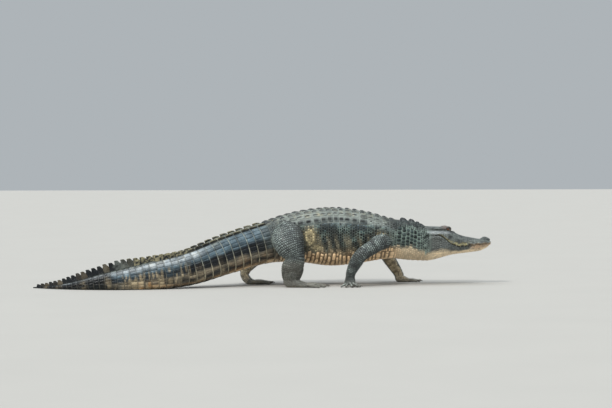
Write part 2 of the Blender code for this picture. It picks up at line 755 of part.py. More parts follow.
def make_claw(name, tip, direction, size):
    """A curved claw, rooted in the end of a digit and bent down to the floor."""
    across = Vector((-direction.y, direction.x, 0))

    def place(share, angle):
        radius = CLAW_RADIUS * size * (1 - 0.90 * share**1.3)
        point = tip + direction * (-0.008 + (CLAW_LENGTH * size) * share)
        point.z = tip.z + 0.004 + 0.004 * math.sin(math.pi * share) - (tip.z + 0.0025) * share**2
        round_point = across * radius * 0.75 * math.cos(angle) + Vector((0, 0, radius * math.sin(angle)))
        return placed(*(point + round_point))

    return lofted(name, 4, 6, place, CLAW_DARK, 0.3)


def make_web(name, root, digits, share):
    """Thin skin between two neighbouring digits, from the ball of the foot to a share of their length."""
    corners = [Vector(root)]
    for heading, length in digits:
        corners.append(Vector(root) + Vector((math.cos(heading), math.sin(heading), 0)) * length * share)

    def place(along, angle):
        corner = corners[round(angle / (2 * math.pi) * 3) % 3]
        height = 0.0045 + WEB_THICKNESS * (along - 0.5)
        return placed(corner.x, corner.y, height)

    return lofted(name, 2, 3, place, LIMB_GREY)


def make_foot(name, knots, digits, turn, web_share, lower):
    """A foot with its digits and webs, cut clear of the limb above it, and its claws."""
    side = math.copysign(1, knots[0][1])
    palm = tube_along(name, knots, 0, len(knots) - 1, 7, 12, Vector((0, 0, 1)), LIMB_GREY, 2.6)
    ball = knots[-1]
    pieces, claws, spread = [], [], []
    for i, (angle, length, radius) in enumerate(digits):
        heading = math.radians(side * (turn + angle))
        splay = Vector((-math.sin(math.radians(side * turn)), math.cos(math.radians(side * turn)), 0))
        offset = splay * side * (i / (len(digits) - 1) - 0.5) * 1.45 * ball[3]
        root = (ball[0] + offset.x, ball[1] + offset.y, ball[2])
        drop = radius * 0.45
        digit, tip, direction = make_digit(f"{name}_digit_{i}", root, heading, length, radius, drop)
        pieces.append(digit)
        spread.append((heading, length, root))
        if i < CLAWED_DIGITS:
            claws.append(make_claw(f"claw_{name}_{i + 1}", tip, direction, radius / 0.0125))
    for i, (one, other) in enumerate(zip(spread, spread[1:])):
        root = [(a + b) / 2 for a, b in zip(one[2], other[2])]
        pieces.append(make_web(f"{name}_web_{i}", root, (one[:2], other[:2]), web_share))
    apply_boolean(palm, pieces, "UNION")
    stand_on_floor(palm)
    for claw in claws:
        stand_on_floor(claw)
    cut_clear(palm, lower, *claws)
    return palm


def make_limbs(neck, torso, tail_root):
    for word, knots in (("right", HIND_RIGHT), ("left", HIND_LEFT)):
        shank = make_limb(f"thigh_{word}", f"shank_{word}", knots, (torso, tail_root))
        foot = HIND_FOOT_RIGHT if word == "right" else HIND_FOOT_LEFT
        turn = HIND_TURN_RIGHT if word == "right" else HIND_TURN_LEFT
        make_foot(f"hind_foot_{word}", foot, HIND_TOES, turn, 0.62, shank)
    for word, knots in (("right", FORE_RIGHT), ("left", FORE_LEFT)):
        forearm = make_limb(f"upper_arm_{word}", f"forearm_{word}", knots, (torso, neck))
        foot = FORE_FOOT_RIGHT if word == "right" else FORE_FOOT_LEFT
        turn = FORE_TURN_RIGHT if word == "right" else FORE_TURN_LEFT
        make_foot(f"fore_foot_{word}", foot, FORE_FINGERS, turn, 0.30, forearm)


def main():
    neck = make_neck()
    torso = make_torso()
    tail_root, *_ = make_tail()
    head = make_head()
    make_lower_jaw(head)
    make_limbs(neck, torso, tail_root)


for old in list(bpy.data.objects):
    bpy.data.objects.remove(old)
model = bpy.data.collections.new("american_alligator")
bpy.context.scene.collection.children.link(model)
main()
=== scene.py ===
"""The looks of a life-size American alligator in its high walk.

One skin takes the place of the body's lengths, the head, the limbs and the feet. Keeled scutes, crests, plates and
scales are joined meshes that grow from it. Metres, +X forward, +Y to the animal's left, floor at zero.
"""

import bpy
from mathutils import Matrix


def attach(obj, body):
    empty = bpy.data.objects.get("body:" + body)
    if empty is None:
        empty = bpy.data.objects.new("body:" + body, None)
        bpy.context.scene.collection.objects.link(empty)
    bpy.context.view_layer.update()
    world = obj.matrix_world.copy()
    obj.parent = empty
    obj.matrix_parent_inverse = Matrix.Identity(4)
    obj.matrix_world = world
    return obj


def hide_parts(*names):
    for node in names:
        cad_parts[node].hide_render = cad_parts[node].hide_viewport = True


bl_info = {
    "name": "Walking alligator",
    "version": (1, 0, 0),
    "blender": (4, 5, 0),
    "location": "View3D > Sidebar > Alligator",
    "description": "Builds the hide, scutes, eyes, teeth and claws of a life-size alligator, and its studio",
    "category": "Add Mesh",
}

import itertools
import math

import bpy
import numpy as np
from mathutils import Matrix, Vector
from mathutils.bvhtree import BVHTree
from mathutils.kdtree import KDTree

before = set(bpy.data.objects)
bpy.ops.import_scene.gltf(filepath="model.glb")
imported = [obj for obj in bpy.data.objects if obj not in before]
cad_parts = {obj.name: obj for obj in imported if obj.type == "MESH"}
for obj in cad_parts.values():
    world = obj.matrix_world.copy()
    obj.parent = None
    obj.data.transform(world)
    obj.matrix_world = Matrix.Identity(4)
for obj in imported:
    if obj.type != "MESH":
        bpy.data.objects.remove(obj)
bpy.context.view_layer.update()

# The floor point under the middle of the model, in the animal's own measure along and across.
MIDDLE = (0.014, -0.035)

# The spine, from the tail tip to the nape: forward, left, height of the middle, half width, half depth, how high
# the widest level lies in the section (0 to 1), and how square the back is (2 is round).
SPINE = (
    (-1.545, -0.130, 0.0035, 0.004, 0.0055, 0.50, 2.0),
    (-1.373, -0.255, 0.0135, 0.016, 0.0165, 0.42, 1.8),
    (-1.080, -0.350, 0.0530, 0.035, 0.0560, 0.38, 1.8),
    (-0.779, -0.325, 0.0880, 0.058, 0.0910, 0.40, 2.1),
    (-0.520, -0.225, 0.1290, 0.082, 0.1130, 0.42, 2.5),
    (-0.258, -0.112, 0.2120, 0.108, 0.1270, 0.44, 2.7),
    (0.008, -0.030, 0.2860, 0.140, 0.1360, 0.46, 2.7),
    (0.257, 0.010, 0.3260, 0.174, 0.1720, 0.46, 2.5),
    (0.480, 0.030, 0.3260, 0.198, 0.1960, 0.46, 2.4),
    (0.700, 0.014, 0.3240, 0.178, 0.1720, 0.46, 2.4),
    (0.880, 0.000, 0.3120, 0.144, 0.1350, 0.46, 2.3),
    (1.020, 0.000, 0.2960, 0.127, 0.1310, 0.44, 2.3),
    (1.115, 0.000, 0.2810, 0.119, 0.1200, 0.42, 2.3),
)
BELLY_SQUARENESS = 2.3
NAPE = 1.115
UPRIGHT_FROM = 0.930
SHOULDER = 0.905
VENT = 0.030
TAIL_TIP = -1.545
BACK_ROW = 0.049
WHORL_ROOT = 0.057
WHORL_TIP = 0.026

# The head: forward, top, lip, chin, half width of the upper jaw and of the lower jaw.
HEAD = (
    (1.115, 0.397, 0.325, 0.161, 0.1200, 0.1200),
    (1.180, 0.395, 0.337, 0.171, 0.1245, 0.1240),
    (1.245, 0.389, 0.317, 0.189, 0.1170, 0.1165),
    (1.300, 0.362, 0.277, 0.203, 0.0990, 0.0925),
    (1.352, 0.339, 0.259, 0.210, 0.0860, 0.0730),
    (1.430, 0.318, 0.270, 0.219, 0.0760, 0.0620),
    (1.515, 0.308, 0.275, 0.233, 0.0740, 0.0590),
    (1.575, 0.300, 0.279, 0.258, 0.0720, 0.0560),
)
# The line of the mouth: forward and height.
LIPS = (
    (1.115, 0.322),
    (1.165, 0.337),
    (1.205, 0.339),
    (1.240, 0.315),
    (1.275, 0.288),
    (1.311, 0.2725),
    (1.347, 0.2645),
    (1.382, 0.2670),
    (1.417, 0.2735),
    (1.452, 0.2740),
    (1.487, 0.2765),
    (1.523, 0.2790),
    (1.575, 0.2810),
)
SNOUT_TIP = 1.575
CHIN_TIP = 1.564
SNOUT_ROUNDING = 0.085
TABLE_END = 1.262
TABLE_HALF_WIDTH = 0.065
TABLE_STEP = 0.030
EYE = (1.266, 0.057, 0.3790)
EYE_RADIUS = 0.0145
NOSTRIL = (1.534, 0.014, 0.3195)
EAR = (1.196, 0.0690, 0.3800)

# The limbs: forward, left, height, half width fore and aft, half width across.
LIMBS = {
    "hind_right": (
        (0.125, -0.050, 0.350, 0.098, 0.080),
        (0.148, -0.140, 0.340, 0.108, 0.078),
        (0.172, -0.208, 0.272, 0.098, 0.062),
        (0.202, -0.236, 0.195, 0.062, 0.046),
        (0.184, -0.243, 0.135, 0.074, 0.045),
        (0.174, -0.240, 0.075, 0.065, 0.038),
        (0.171, -0.236, 0.031, 0.043, 0.027),
    ),
    "hind_left": (
        (0.125, 0.050, 0.345, 0.095, 0.080),
        (0.115, 0.150, 0.330, 0.098, 0.070),
        (0.055, 0.200, 0.268, 0.080, 0.058),
        (-0.008, 0.214, 0.205, 0.058, 0.045),
        (-0.058, 0.196, 0.158, 0.053, 0.040),
        (-0.098, 0.158, 0.112, 0.040, 0.032),
        (-0.112, 0.136, 0.076, 0.031, 0.027),
    ),
    "fore_right": (
        (0.850, -0.050, 0.315, 0.066, 0.055),
        (0.800, -0.140, 0.300, 0.056, 0.047),
        (0.722, -0.208, 0.262, 0.047, 0.040),
        (0.648, -0.238, 0.216, 0.044, 0.037),
        (0.606, -0.240, 0.158, 0.042, 0.034),
        (0.579, -0.236, 0.102, 0.033, 0.028),
        (0.572, -0.234, 0.068, 0.029, 0.025),
    ),
    "fore_left": (
        (0.850, 0.050, 0.310, 0.064, 0.055),
        (0.852, 0.135, 0.290, 0.056, 0.047),
        (0.864, 0.212, 0.245, 0.047, 0.040),
        (0.884, 0.250, 0.196, 0.043, 0.036),
        (0.920, 0.254, 0.140, 0.041, 0.033),
        (0.958, 0.250, 0.082, 0.035, 0.029),
        (0.984, 0.247, 0.034, 0.030, 0.026),
    ),
}
# The feet, from the heel to the ball: forward, left, height, half width and half thickness.
FEET = {
    "hind_right": (
        (0.124, -0.231, 0.026, 0.011, 0.013),
        (0.138, -0.232, 0.030, 0.026, 0.027),
        (0.170, -0.234, 0.033, 0.038, 0.034),
        (0.225, -0.238, 0.023, 0.046, 0.026),
        (0.280, -0.242, 0.012, 0.051, 0.016),
    ),
    "hind_left": (
        (-0.120, 0.131, 0.100, 0.021, 0.023),
        (-0.116, 0.128, 0.078, 0.026, 0.025),
        (-0.110, 0.124, 0.052, 0.031, 0.027),
        (-0.090, 0.118, 0.028, 0.043, 0.026),
        (-0.055, 0.112, 0.013, 0.048, 0.016),
    ),
    "fore_right": (
        (0.574, -0.230, 0.094, 0.018, 0.016),
        (0.573, -0.231, 0.084, 0.027, 0.023),
        (0.572, -0.234, 0.064, 0.031, 0.022),
        (0.570, -0.240, 0.040, 0.036, 0.019),
        (0.567, -0.250, 0.020, 0.038, 0.014),
    ),
    "fore_left": (
        (0.952, 0.243, 0.018, 0.014, 0.014),
        (0.966, 0.244, 0.022, 0.026, 0.022),
        (0.990, 0.246, 0.024, 0.031, 0.024),
        (1.022, 0.250, 0.016, 0.037, 0.018),
        (1.048, 0.253, 0.010, 0.038, 0.012),
    ),
}
# The digits, inner one first: heading outwards in degrees, length from the ball, radius at the root.
HIND_TOES = ((-22, 0.103, 0.0150), (-6, 0.130, 0.0155), (9, 0.126, 0.0145), (27, 0.098, 0.0120))
FORE_FINGERS = (
    (-42, 0.055, 0.0115),
    (-18, 0.074, 0.0120),
    (4, 0.078, 0.0115),
    (28, 0.070, 0.0100),
    (56, 0.054, 0.0090),
)
FOOT_TURNS = {"hind_right": 8, "hind_left": 20, "fore_right": 80, "fore_left": 8}
CLAWED_DIGITS = 3
CLAW_LENGTH = 0.030
CLAW_RADIUS = 0.0058

# The camera that took the view: place in the animal's own measure, turn and tilt in degrees, and lens on 36 mm.
CAMERA_PLACE = (-1.1692, -13.9542, 0.95)
CAMERA_TURN = 6.0
CAMERA_TILT = 1.6247
CAMERA_LENS = 36 * 2059 / 612

# The grids of the skin.
ROUND = 128
BODY_STEP = 0.0115
HEAD_FROM = 1.060
UPPER = 62
GROOVE = 6
FLOOR_CLEAR = 0.0006

FLESH = ("head", "lower_jaw", "neck", "torso", "tail_root", "tail_middle", "tail_bend", "tail_rear", "tail_tip")
SIDES = ("left", "right")

random_draws = np.random.default_rng(33)


# Small sums


def smooth(rows, at, column):
    """A column of a station table, read by a smooth curve through its values."""
    table = np.asarray(rows, float)
    x, v = table[:, 0], table[:, column]
    slope = np.gradient(v, x)
    i = np.clip(np.searchsorted(x, at) - 1, 0, len(x) - 2)
    span = x[i + 1] - x[i]
    t = np.clip((at - x[i]) / span, 0, 1)
    start = (1 + 2 * t) * (1 - t) ** 2 * v[i] + t * (1 - t) ** 2 * span * slope[i]
    end = t * t * (3 - 2 * t) * v[i + 1] - t * t * (1 - t) * span * slope[i + 1]
    return start + end


def ramp(low, high, at):
    """0 below low, 1 above high, and a smooth step between."""
    t = np.clip((np.asarray(at, float) - low) / (high - low), 0, 1)
    return t * t * (3 - 2 * t)


def bell(at, middle, width):
    """1 at the middle, falling off smoothly over the width."""
    return np.exp(-(((np.asarray(at, float) - middle) / width) ** 2))


def unit(v):
    return v / np.maximum(np.linalg.norm(v, axis=-1, keepdims=True), 1e-12)


def rounded(angle, squareness):
    """Across and up on a unit curve that is round at squareness 2 and boxier above it."""
    c, s = np.cos(angle), np.sin(angle)
    power = 2.0 / squareness
    return np.sign(c) * np.abs(c) ** power, np.sign(s) * np.abs(s) ** power


def placed(x, y, z):
    """Points of the animal's own measure, in the model's frame."""
    return np.stack(np.broadcast_arrays(x - MIDDLE[0], y - MIDDLE[1], z), -1)


def mottle(points, size, seed=0):
    """Smooth noise from 0 to 1 whose spots are about size across."""
    place = np.asarray(points, float) / size + seed * 17.31 + 512.0
    low = np.floor(place).astype(np.int64)
    part = place - low
    part = part * part * (3 - 2 * part)
    total = 0.0
    for corner in itertools.product((0, 1), repeat=3):
        cell = low + np.array(corner)
        key = (cell[..., 0] * 73856093) ^ (cell[..., 1] * 19349663) ^ (cell[..., 2] * 83492791)
        key = (key ^ (key >> 13)) * 1274126177 & 0xFFFFFFFF
        weight = np.prod(np.where(np.array(corner) > 0, part, 1 - part), axis=-1)
        total = total + weight * ((key ^ (key >> 16)) & 0xFFFF) / 65535.0
    return total


def blend(a, b, share):
    """From colour a to colour b, point by point."""
    return a + (b - a) * np.asarray(share)[..., None]


# The shape of the body, as rings of points


def spine_frames(x):
    """The middle of the body at forward positions, and its forward, left and up directions there."""
    x = np.asarray(x, float)
    low, high = np.maximum(x - 0.01, TAIL_TIP), np.minimum(x + 0.01, NAPE)
    rise = [smooth(SPINE, high, c) - smooth(SPINE, low, c) for c in (1, 2)]
    forward = unit(np.stack([high - low, *rise], -1))
    upright = ramp(UPRIGHT_FROM, NAPE, x)[..., None]
    forward = unit(forward * (1 - upright) + np.array([1.0, 0, 0]) * upright)
    left = unit(np.cross(np.array([0, 0, 1.0]), forward))
    return placed(x, smooth(SPINE, x, 1), smooth(SPINE, x, 2)), forward, left, np.cross(forward, left)


def body_points(x, angle, lift=0.0):
    """Points on the body. Angle 0 is the left side and a quarter turn is the back."""
    middle, _, left, up = spine_frames(x)
    depth, level = 2 * smooth(SPINE, x, 4), smooth(SPINE, x, 5)
    upper = np.sin(angle) >= 0
    across, high = rounded(angle, np.where(upper, smooth(SPINE, x, 6), BELLY_SQUARENESS))
    reach = np.where(upper, depth * (1 - level), depth * level) + lift
    across = (smooth(SPINE, x, 3) + lift) * across
    return middle + left * across[..., None] + up * (depth * (level - 0.5) + reach * high)[..., None]


def respaced(rings, count):
    """Closed rings, each with its points set at equal steps, from the same first point."""
    found = np.empty((len(rings), count, 3))
    for i, ring in enumerate(rings):
        ring = np.vstack([ring, ring[:1]])
        lengths = np.concatenate([[0], np.cumsum(np.linalg.norm(np.diff(ring, axis=0), axis=1))])
        marks = np.linspace(0, lengths[-1], count, endpoint=False)
        for axis in range(3):
            found[i, :, axis] = np.interp(marks, lengths, ring[:, axis])
    return found


def folds(x, share):
    """Soft folds of the hide: how far it stands in or out, from forward position and share round the body."""
    trunk = ramp(0.05, 0.30, x) * ramp(0.93, 0.80, x)
    flank = ramp(0.46, 0.60, share) * ramp(0.97, 0.86, share)
    wave = np.sin(x * 2 * math.pi / 0.049 + 2.2 * np.sin(x * 9.0) + 3.0 * share)
    ribs = 0.0022 * wave * flank * trunk
    groin = -0.012 * bell(x, 0.325, 0.055) * bell(share, 0.62, 0.16)
    armpit = -0.008 * bell(x, 0.700, 0.050) * bell(share, 0.72, 0.14)
    throat = 0.0022 * np.sin(x * 2 * math.pi / 0.030 + 4 * share) * ramp(0.90, 1.00, x) * ramp(0.50, 0.66, share)
    return ribs + groin + armpit + throat


def body_rings(x, inset):
    """Rings round the body at forward positions, from the middle of the back over the left side."""
    angles = math.pi / 2 - np.linspace(0, 2 * math.pi, 720, endpoint=False)
    share = np.concatenate([np.linspace(0, 1, 361), np.linspace(1, 0, 361)[1:-1]])
    grid_x = np.repeat(np.asarray(x)[:, None], 720, 1)
    lift = folds(grid_x, np.repeat(share[None], len(grid_x), 0)) - inset
    return body_points(grid_x, np.repeat(angles[None], len(grid_x), 0), lift)


def closing(x, tip):
    """How far the plan outline has closed in at a forward position, 1 before the rounding and 0 at the tip."""
    t = np.clip(1 - (tip - x) / SNOUT_ROUNDING, 0, 1)
    return (1 - t**2.4) ** (1 / 2.1)


def lip_height(x):
    """The height of the line of the mouth, with the scallops of the upper lip."""
    waves = 0.0026 * np.sin((x - 1.30) * 2 * math.pi / 0.052) + 0.0010 * np.sin(x * 2 * math.pi / 0.021)
    return smooth(LIPS, x, 1) + waves * ramp(1.28, 1.33, x) * ramp(1.572, 1.54, x)


def skull_half(x, count):
    """The left half of the upper head at a forward position, from the middle of the top to the lip."""
    shut = float(closing(x, SNOUT_TIP))
    lip = float(lip_height(x))
    half = max(0.006, float(smooth(HEAD, x, 4)) * shut)
    top = lip + (float(smooth(HEAD, x, 1)) - lip) * (0.35 + 0.65 * shut)
    across, high = rounded(np.linspace(math.pi / 2, 0, 240), 2.5 + 0.7 * float(ramp(1.30, 1.22, x)))
    y, z = half * across, lip + (top - lip) * high
    behind = 1 - ramp(TABLE_END - 0.03, TABLE_END + 0.02, x)
    beside = ramp(TABLE_HALF_WIDTH - 0.004, TABLE_HALF_WIDTH + 0.010, y)
    z = z - TABLE_STEP * behind * beside * ramp(lip, lip + 0.045, z)
    return along_line(y, z, count)


def jaw_half(x, count):
    """The left half of the lower jaw at a forward position, from its upper edge to the middle of the chin."""
    shut = float(closing(x, CHIN_TIP))
    lip, chin = float(lip_height(x)) - 0.002, float(smooth(HEAD, x, 3))
    half = max(0.005, float(smooth(HEAD, x, 5)) * shut)
    chin = lip - (lip - chin) * (0.45 + 0.55 * shut)
    across, high = rounded(np.linspace(0, -math.pi / 2, 240), 2.7)
    return along_line(half * across, lip + (lip - chin) * high, count)


def along_line(y, z, count):
    lengths = np.concatenate([[0], np.cumsum(np.hypot(np.diff(y), np.diff(z)))])
    marks = np.linspace(0, lengths[-1], count)
    return np.stack([np.interp(marks, lengths, y), np.interp(marks, lengths, z)], -1)


def head_ring(x):
    """The whole head at a forward position: over the top, into the line of the mouth and round the chin."""
    count = ROUND + 1
    upper = skull_half(x, UPPER + 1)
    jaw = jaw_half(x, count - UPPER - GROOVE)
    deep = 0.0075 * float(ramp(1.172, 1.235, x)) * float(closing(x, SNOUT_TIP + 0.01))
    corner = np.array([min(upper[-1, 0], jaw[0, 0]) - deep, upper[-1, 1] - 0.0012])
    steps = np.linspace(0, 1, GROOVE + 1)[1:-1, None]
    inward = np.where(steps < 0.5, upper[-1] + (corner - upper[-1]) * steps * 2, corner)
    groove = np.where(steps > 0.5, corner + (jaw[0] - corner) * (steps * 2 - 1), inward)
    half = np.vstack([upper, groove, jaw])
    if x < 1.175:
        round_ = body_rings([x], skin_depth())[0]
        round_ = respaced(round_[None], 2 * ROUND)[0, : ROUND + 1]
        own = np.stack([round_[:, 1] + MIDDLE[1], round_[:, 2]], -1)
        half = own + (half - own) * float(ramp(1.085, 1.175, x))
    left = placed(x, half[:, 0], half[:, 1])
    right = placed(x, -half[1:-1][::-1, 0], half[1:-1][::-1, 1])
    return np.vstack([left, right])


def head_stations():
    """Forward positions of the head's rings, closer together at the eyes and towards the snout tip."""
    x = np.linspace(HEAD_FROM, SNOUT_TIP - 0.0004, 4000)
    density = 1 + 1.1 * bell(x, EYE[0], 0.035) + 1.2 * bell(x, NOSTRIL[0], 0.022) + 5 * ramp(1.553, 1.5745, x) ** 2
    marks = np.concatenate([[0], np.cumsum((density[1:] + density[:-1]) / 2 * np.diff(x))])
    return np.interp(np.linspace(0, marks[-1], 156), marks, x)


def swell(points, origin, centre, radii, soft):
    """Pushes points out, along rays from an origin inside it, to an ellipsoid, with a soft blend."""
    origin, centre, radii = placed(*origin), placed(*centre), np.asarray(radii)
    ray = points - origin
    reach = np.linalg.norm(ray, axis=-1)
    ray = ray / reach[..., None]
    offset, slope = (origin - centre) / radii, ray / radii
    a, b, c = (slope**2).sum(-1), (slope * offset).sum(-1), (offset**2).sum(-1) - 1
    far = (-b + np.sqrt(np.maximum(b * b - a * c, 0))) / a
    further = (reach + far + np.sqrt((reach - far) ** 2 + soft**2)) / 2
    further = np.where(reach < far + 8 * soft, further, reach)
    # Only what lies near the ellipsoid moves, and far points keep their place.
    weight = ramp(far + 8 * soft, far + 3 * soft, reach)
    return origin + ray * (reach + (further - reach) * weight)[..., None]


def ridge_along(points, normals, line, width, height):
    """Raises points along a broken line of the side of the head, given as forward and height, on both sides."""
    x, z = points[..., 0] + MIDDLE[0], points[..., 2]
    nearest = np.full(x.shape, 9.0)
    fade = np.zeros(x.shape)
    for (x0, z0, h0), (x1, z1, h1) in zip(line, line[1:]):
        dx, dz = x1 - x0, z1 - z0
        t = np.clip(((x - x0) * dx + (z - z0) * dz) / (dx * dx + dz * dz), 0, 1)
        away = np.hypot(x - x0 - t * dx, z - z0 - t * dz)
        closer = away < nearest
        fade = np.where(closer, h0 + (h1 - h0) * t, fade)
        nearest = np.minimum(nearest, away)
    side = ramp(0.030, 0.055, np.abs(points[..., 1] + MIDDLE[1]))
    return points + normals * (height * fade * side * np.exp(-((nearest / width) ** 2)))[..., None]


def grid_normals(rings):
    """Outward normals of closed rings of points."""
    ahead = np.gradient(rings, axis=0)
    around = np.roll(rings, -1, 1) - np.roll(rings, 1, 1)
    normals = unit(np.cross(ahead, around))
    outward = rings - rings.mean(1, keepdims=True)
    return normals if (normals * outward).sum() > 0 else -normals


def head_rings():
    """The head with its brows, cheek ridge, jaw muscles, snout ridges and nostril pad."""
    stations = head_stations()
    rings = np.stack([head_ring(x) for x in stations])
    ex, ey, ez = EYE
    for side in (1, -1):
        rings = swell(rings, (ex, side * 0.043, ez - 0.010), (ex - 0.007, side * 0.052, ez), (0.033, 0.0245, 0.0200), 0.0030)
        rings = swell(rings, (1.283, side * 0.034, 0.342), (1.283, side * 0.036, 0.347), (0.034, 0.0200, 0.0180), 0.0060)
        rings = swell(rings, (1.205, side * 0.085, 0.245), (1.215, side * 0.088, 0.262), (0.075, 0.036, 0.052), 0.004)
    nx, _, nz = NOSTRIL
    rings = swell(rings, (nx, 0, nz - 0.024), (nx, 0, nz - 0.0165), (0.036, 0.033, 0.0165), 0.003)
    for side in (1, -1):
        lump = (nx, side * 0.0145, nz - 0.0035)
        rings = swell(rings, (nx, side * 0.013, nz - 0.010), lump, (0.0170, 0.0125, 0.0075), 0.002)
    normals = grid_normals(rings)
    cheek = ((1.080, 0.324, 0), (1.096, 0.341, 0.9), (1.135, 0.355, 1), (1.200, 0.360, 1), (1.250, 0.356, 0.9), (1.285, 0.335, 0.7), (1.320, 0.312, 0.5), (1.370, 0.297, 0.2))
    rings = ridge_along(rings, normals, cheek, 0.0085, 0.0075)
    under = ((1.090, 0.316, 0.3), (1.122, 0.333, 0.9), (1.165, 0.340, 1), (1.205, 0.341, 1), (1.228, 0.329, 0.9), (1.262, 0.304, 0.5), (1.300, 0.288, 0))
    rings = ridge_along(rings, normals, under, 0.0068, -0.0085)
    shelf = ((1.130, 0.317, 0.2), (1.165, 0.325, 1), (1.195, 0.323, 1), (1.215, 0.310, 0.4))
    rings = ridge_along(rings, normals, shelf, 0.0070, 0.0040)
    x, y, z = rings[..., 0] + MIDDLE[0], np.abs(rings[..., 1] + MIDDLE[1]), rings[..., 2]
    on_top = ramp(0.2, 0.7, normals[..., 2])
    # Ridges run from the front of the eyes down the snout, with a shallow trough between them.
    ridge = bell(y, 0.040 - 0.014 * ramp(1.30, 1.50, x), 0.010) * ramp(1.285, 1.31, x) * ramp(1.50, 1.42, x)
    trough = bell(y, 0, 0.022) * ramp(1.20, 1.25, x) * ramp(1.33, 1.285, x)
    dip = bell(y, 0, 0.040) * bell(x, 1.487, 0.016)
    table = bell(y, 0, 0.030) * ramp(1.13, 1.16, x) * ramp(1.25, 1.22, x)
    lift = 0.0034 * ridge - 0.0062 * trough - 0.0022 * dip - 0.0025 * table
    rough = (mottle(rings, 0.016, 3) - 0.5) * 0.0022 + (mottle(rings, 0.0075, 4) - 0.5) * 0.0011
    bony = ramp(1.12, 1.17, x) * ramp(0.262, 0.285, z + 0.02 * ramp(1.40, 1.50, x))
    rings = rings + normals * (lift * on_top + rough * bony)[..., None]
    # Large flat scales along the lower jaw, and soft folds under the throat.
    jaw = ramp(-0.004, -0.012, z - lip_height(x)) * ramp(1.20, 1.26, x)
    swells = 0.0011 * np.sin(x * 2 * math.pi / 0.026) * np.sin(z * 2 * math.pi / 0.027 + 1.0)
    return stations, rings + normals * (swells * jaw)[..., None]


def tube_rings(knots, start, end, flat, count, sides, squareness, inset):
    """Rings of a tube through a stretch of its knots, from the outer side round, and how far along each lies."""
    rows = np.asarray([(i, *row) for i, row in enumerate(knots)], float)
    at = np.linspace(start, end, count)

    def read(where, column):
        return smooth(rows, np.clip(where, 0, len(knots) - 1), column)

    def centre(where):
        return np.stack([read(where, c) for c in (1, 2, 3)], -1)

    along = unit(centre(at + 0.05) - centre(at - 0.05))
    across = unit(flat - along * (along @ flat)[:, None])
    aft = np.cross(across, along)
    t = np.linspace(0, 2 * math.pi, 4 * sides, endpoint=False) + math.pi / 2
    a, b = rounded(t, squareness)
    wide, thick = (read(at, 4) - inset)[:, None, None], (read(at, 5) - inset)[:, None, None]
    middle = placed(*centre(at).T)
    fine = middle[:, None] + aft[:, None] * wide * a[None, :, None] + across[:, None] * thick * b[None, :, None]
    return respaced(fine, sides)


def limb_rings(name, inset):
    """The rings of a limb, with a softly swollen calf or forearm."""
    side = -1 if name.endswith("right") else 1
    flat = np.array([0, side, 0.25 if name.startswith("fore") else 0.15])
    return tube_rings(LIMBS[name], 0, 6, flat, 84, 60, 2.2, inset)


def foot_rings(name, inset):
    return tube_rings(FEET[name], 0, 4, np.array([0, 0, 1.0]), 26, 40, 2.6, inset)


def digits_of(name):
    """(root, heading, length, radius, drop, tip, direction) of each digit of a foot, in the animal's own measure."""
    side = -1 if name.endswith("right") else 1
    turn, ball = FOOT_TURNS[name], FEET[name][-1]
    rows = HIND_TOES if name.startswith("hind") else FORE_FINGERS
    found = []
    for i, (angle, length, radius) in enumerate(rows):
        heading = math.radians(side * (turn + angle))
        splay = np.array([-math.sin(math.radians(side * turn)), math.cos(math.radians(side * turn)), 0])
        offset = splay * side * (i / (len(rows) - 1) - 0.5) * 1.45 * ball[3]
        root = np.array(ball[:3]) + offset
        direction = np.array([math.cos(heading), math.sin(heading), 0])
        found.append((root, heading, length, radius, radius * 0.45, root + direction * length, direction))
    return found


def digit_rings(root, length, radius, drop, direction, inset):
    """A tapering digit with knuckles, from inside the ball of the foot down to the floor."""
    share = np.linspace(0, 1, 26)[:, None]
    angle = np.linspace(0, 2 * math.pi, 20, endpoint=False)[None] + math.pi / 2
    across = np.array([-direction[1], direction[0], 0])
    knuckle = 1 + 0.10 * np.cos(share * 4 * math.pi) + 0.02 * np.cos(share * 34 * math.pi)
    blunt = np.sqrt(np.clip(1 - ((share - 0.94) / 0.0605) ** 2 * (share > 0.94), 0.05, 1))
    thick = (radius * (1 - 0.42 * share) * knuckle - inset) * blunt
    reach = (length + 0.03) * share - 0.03
    middle = root + direction * reach[..., None]
    height = root[2] * (1 - share) + drop * share + radius * 0.5 * np.sin(math.pi * share)
    x = middle[..., 0] + across[0] * thick * np.cos(angle)
    y = middle[..., 1] + across[1] * thick * np.cos(angle)
    return placed(x, y, height + thick * np.sin(angle))


def web_points(one, other, share):
    """The corners of the web between two digits, top and bottom."""
    root = (one[0] + other[0]) / 2
    corners = [root]
    for digit in (one, other):
        corners.append(root + digit[6] * digit[2] * share)
    flat = np.array(corners)
    return [placed(flat[:, 0], flat[:, 1], np.full(3, height)) for height in (0.0020, 0.0062)]


# Coats: surfaces that scales grow from, and the joined meshes that the scales make


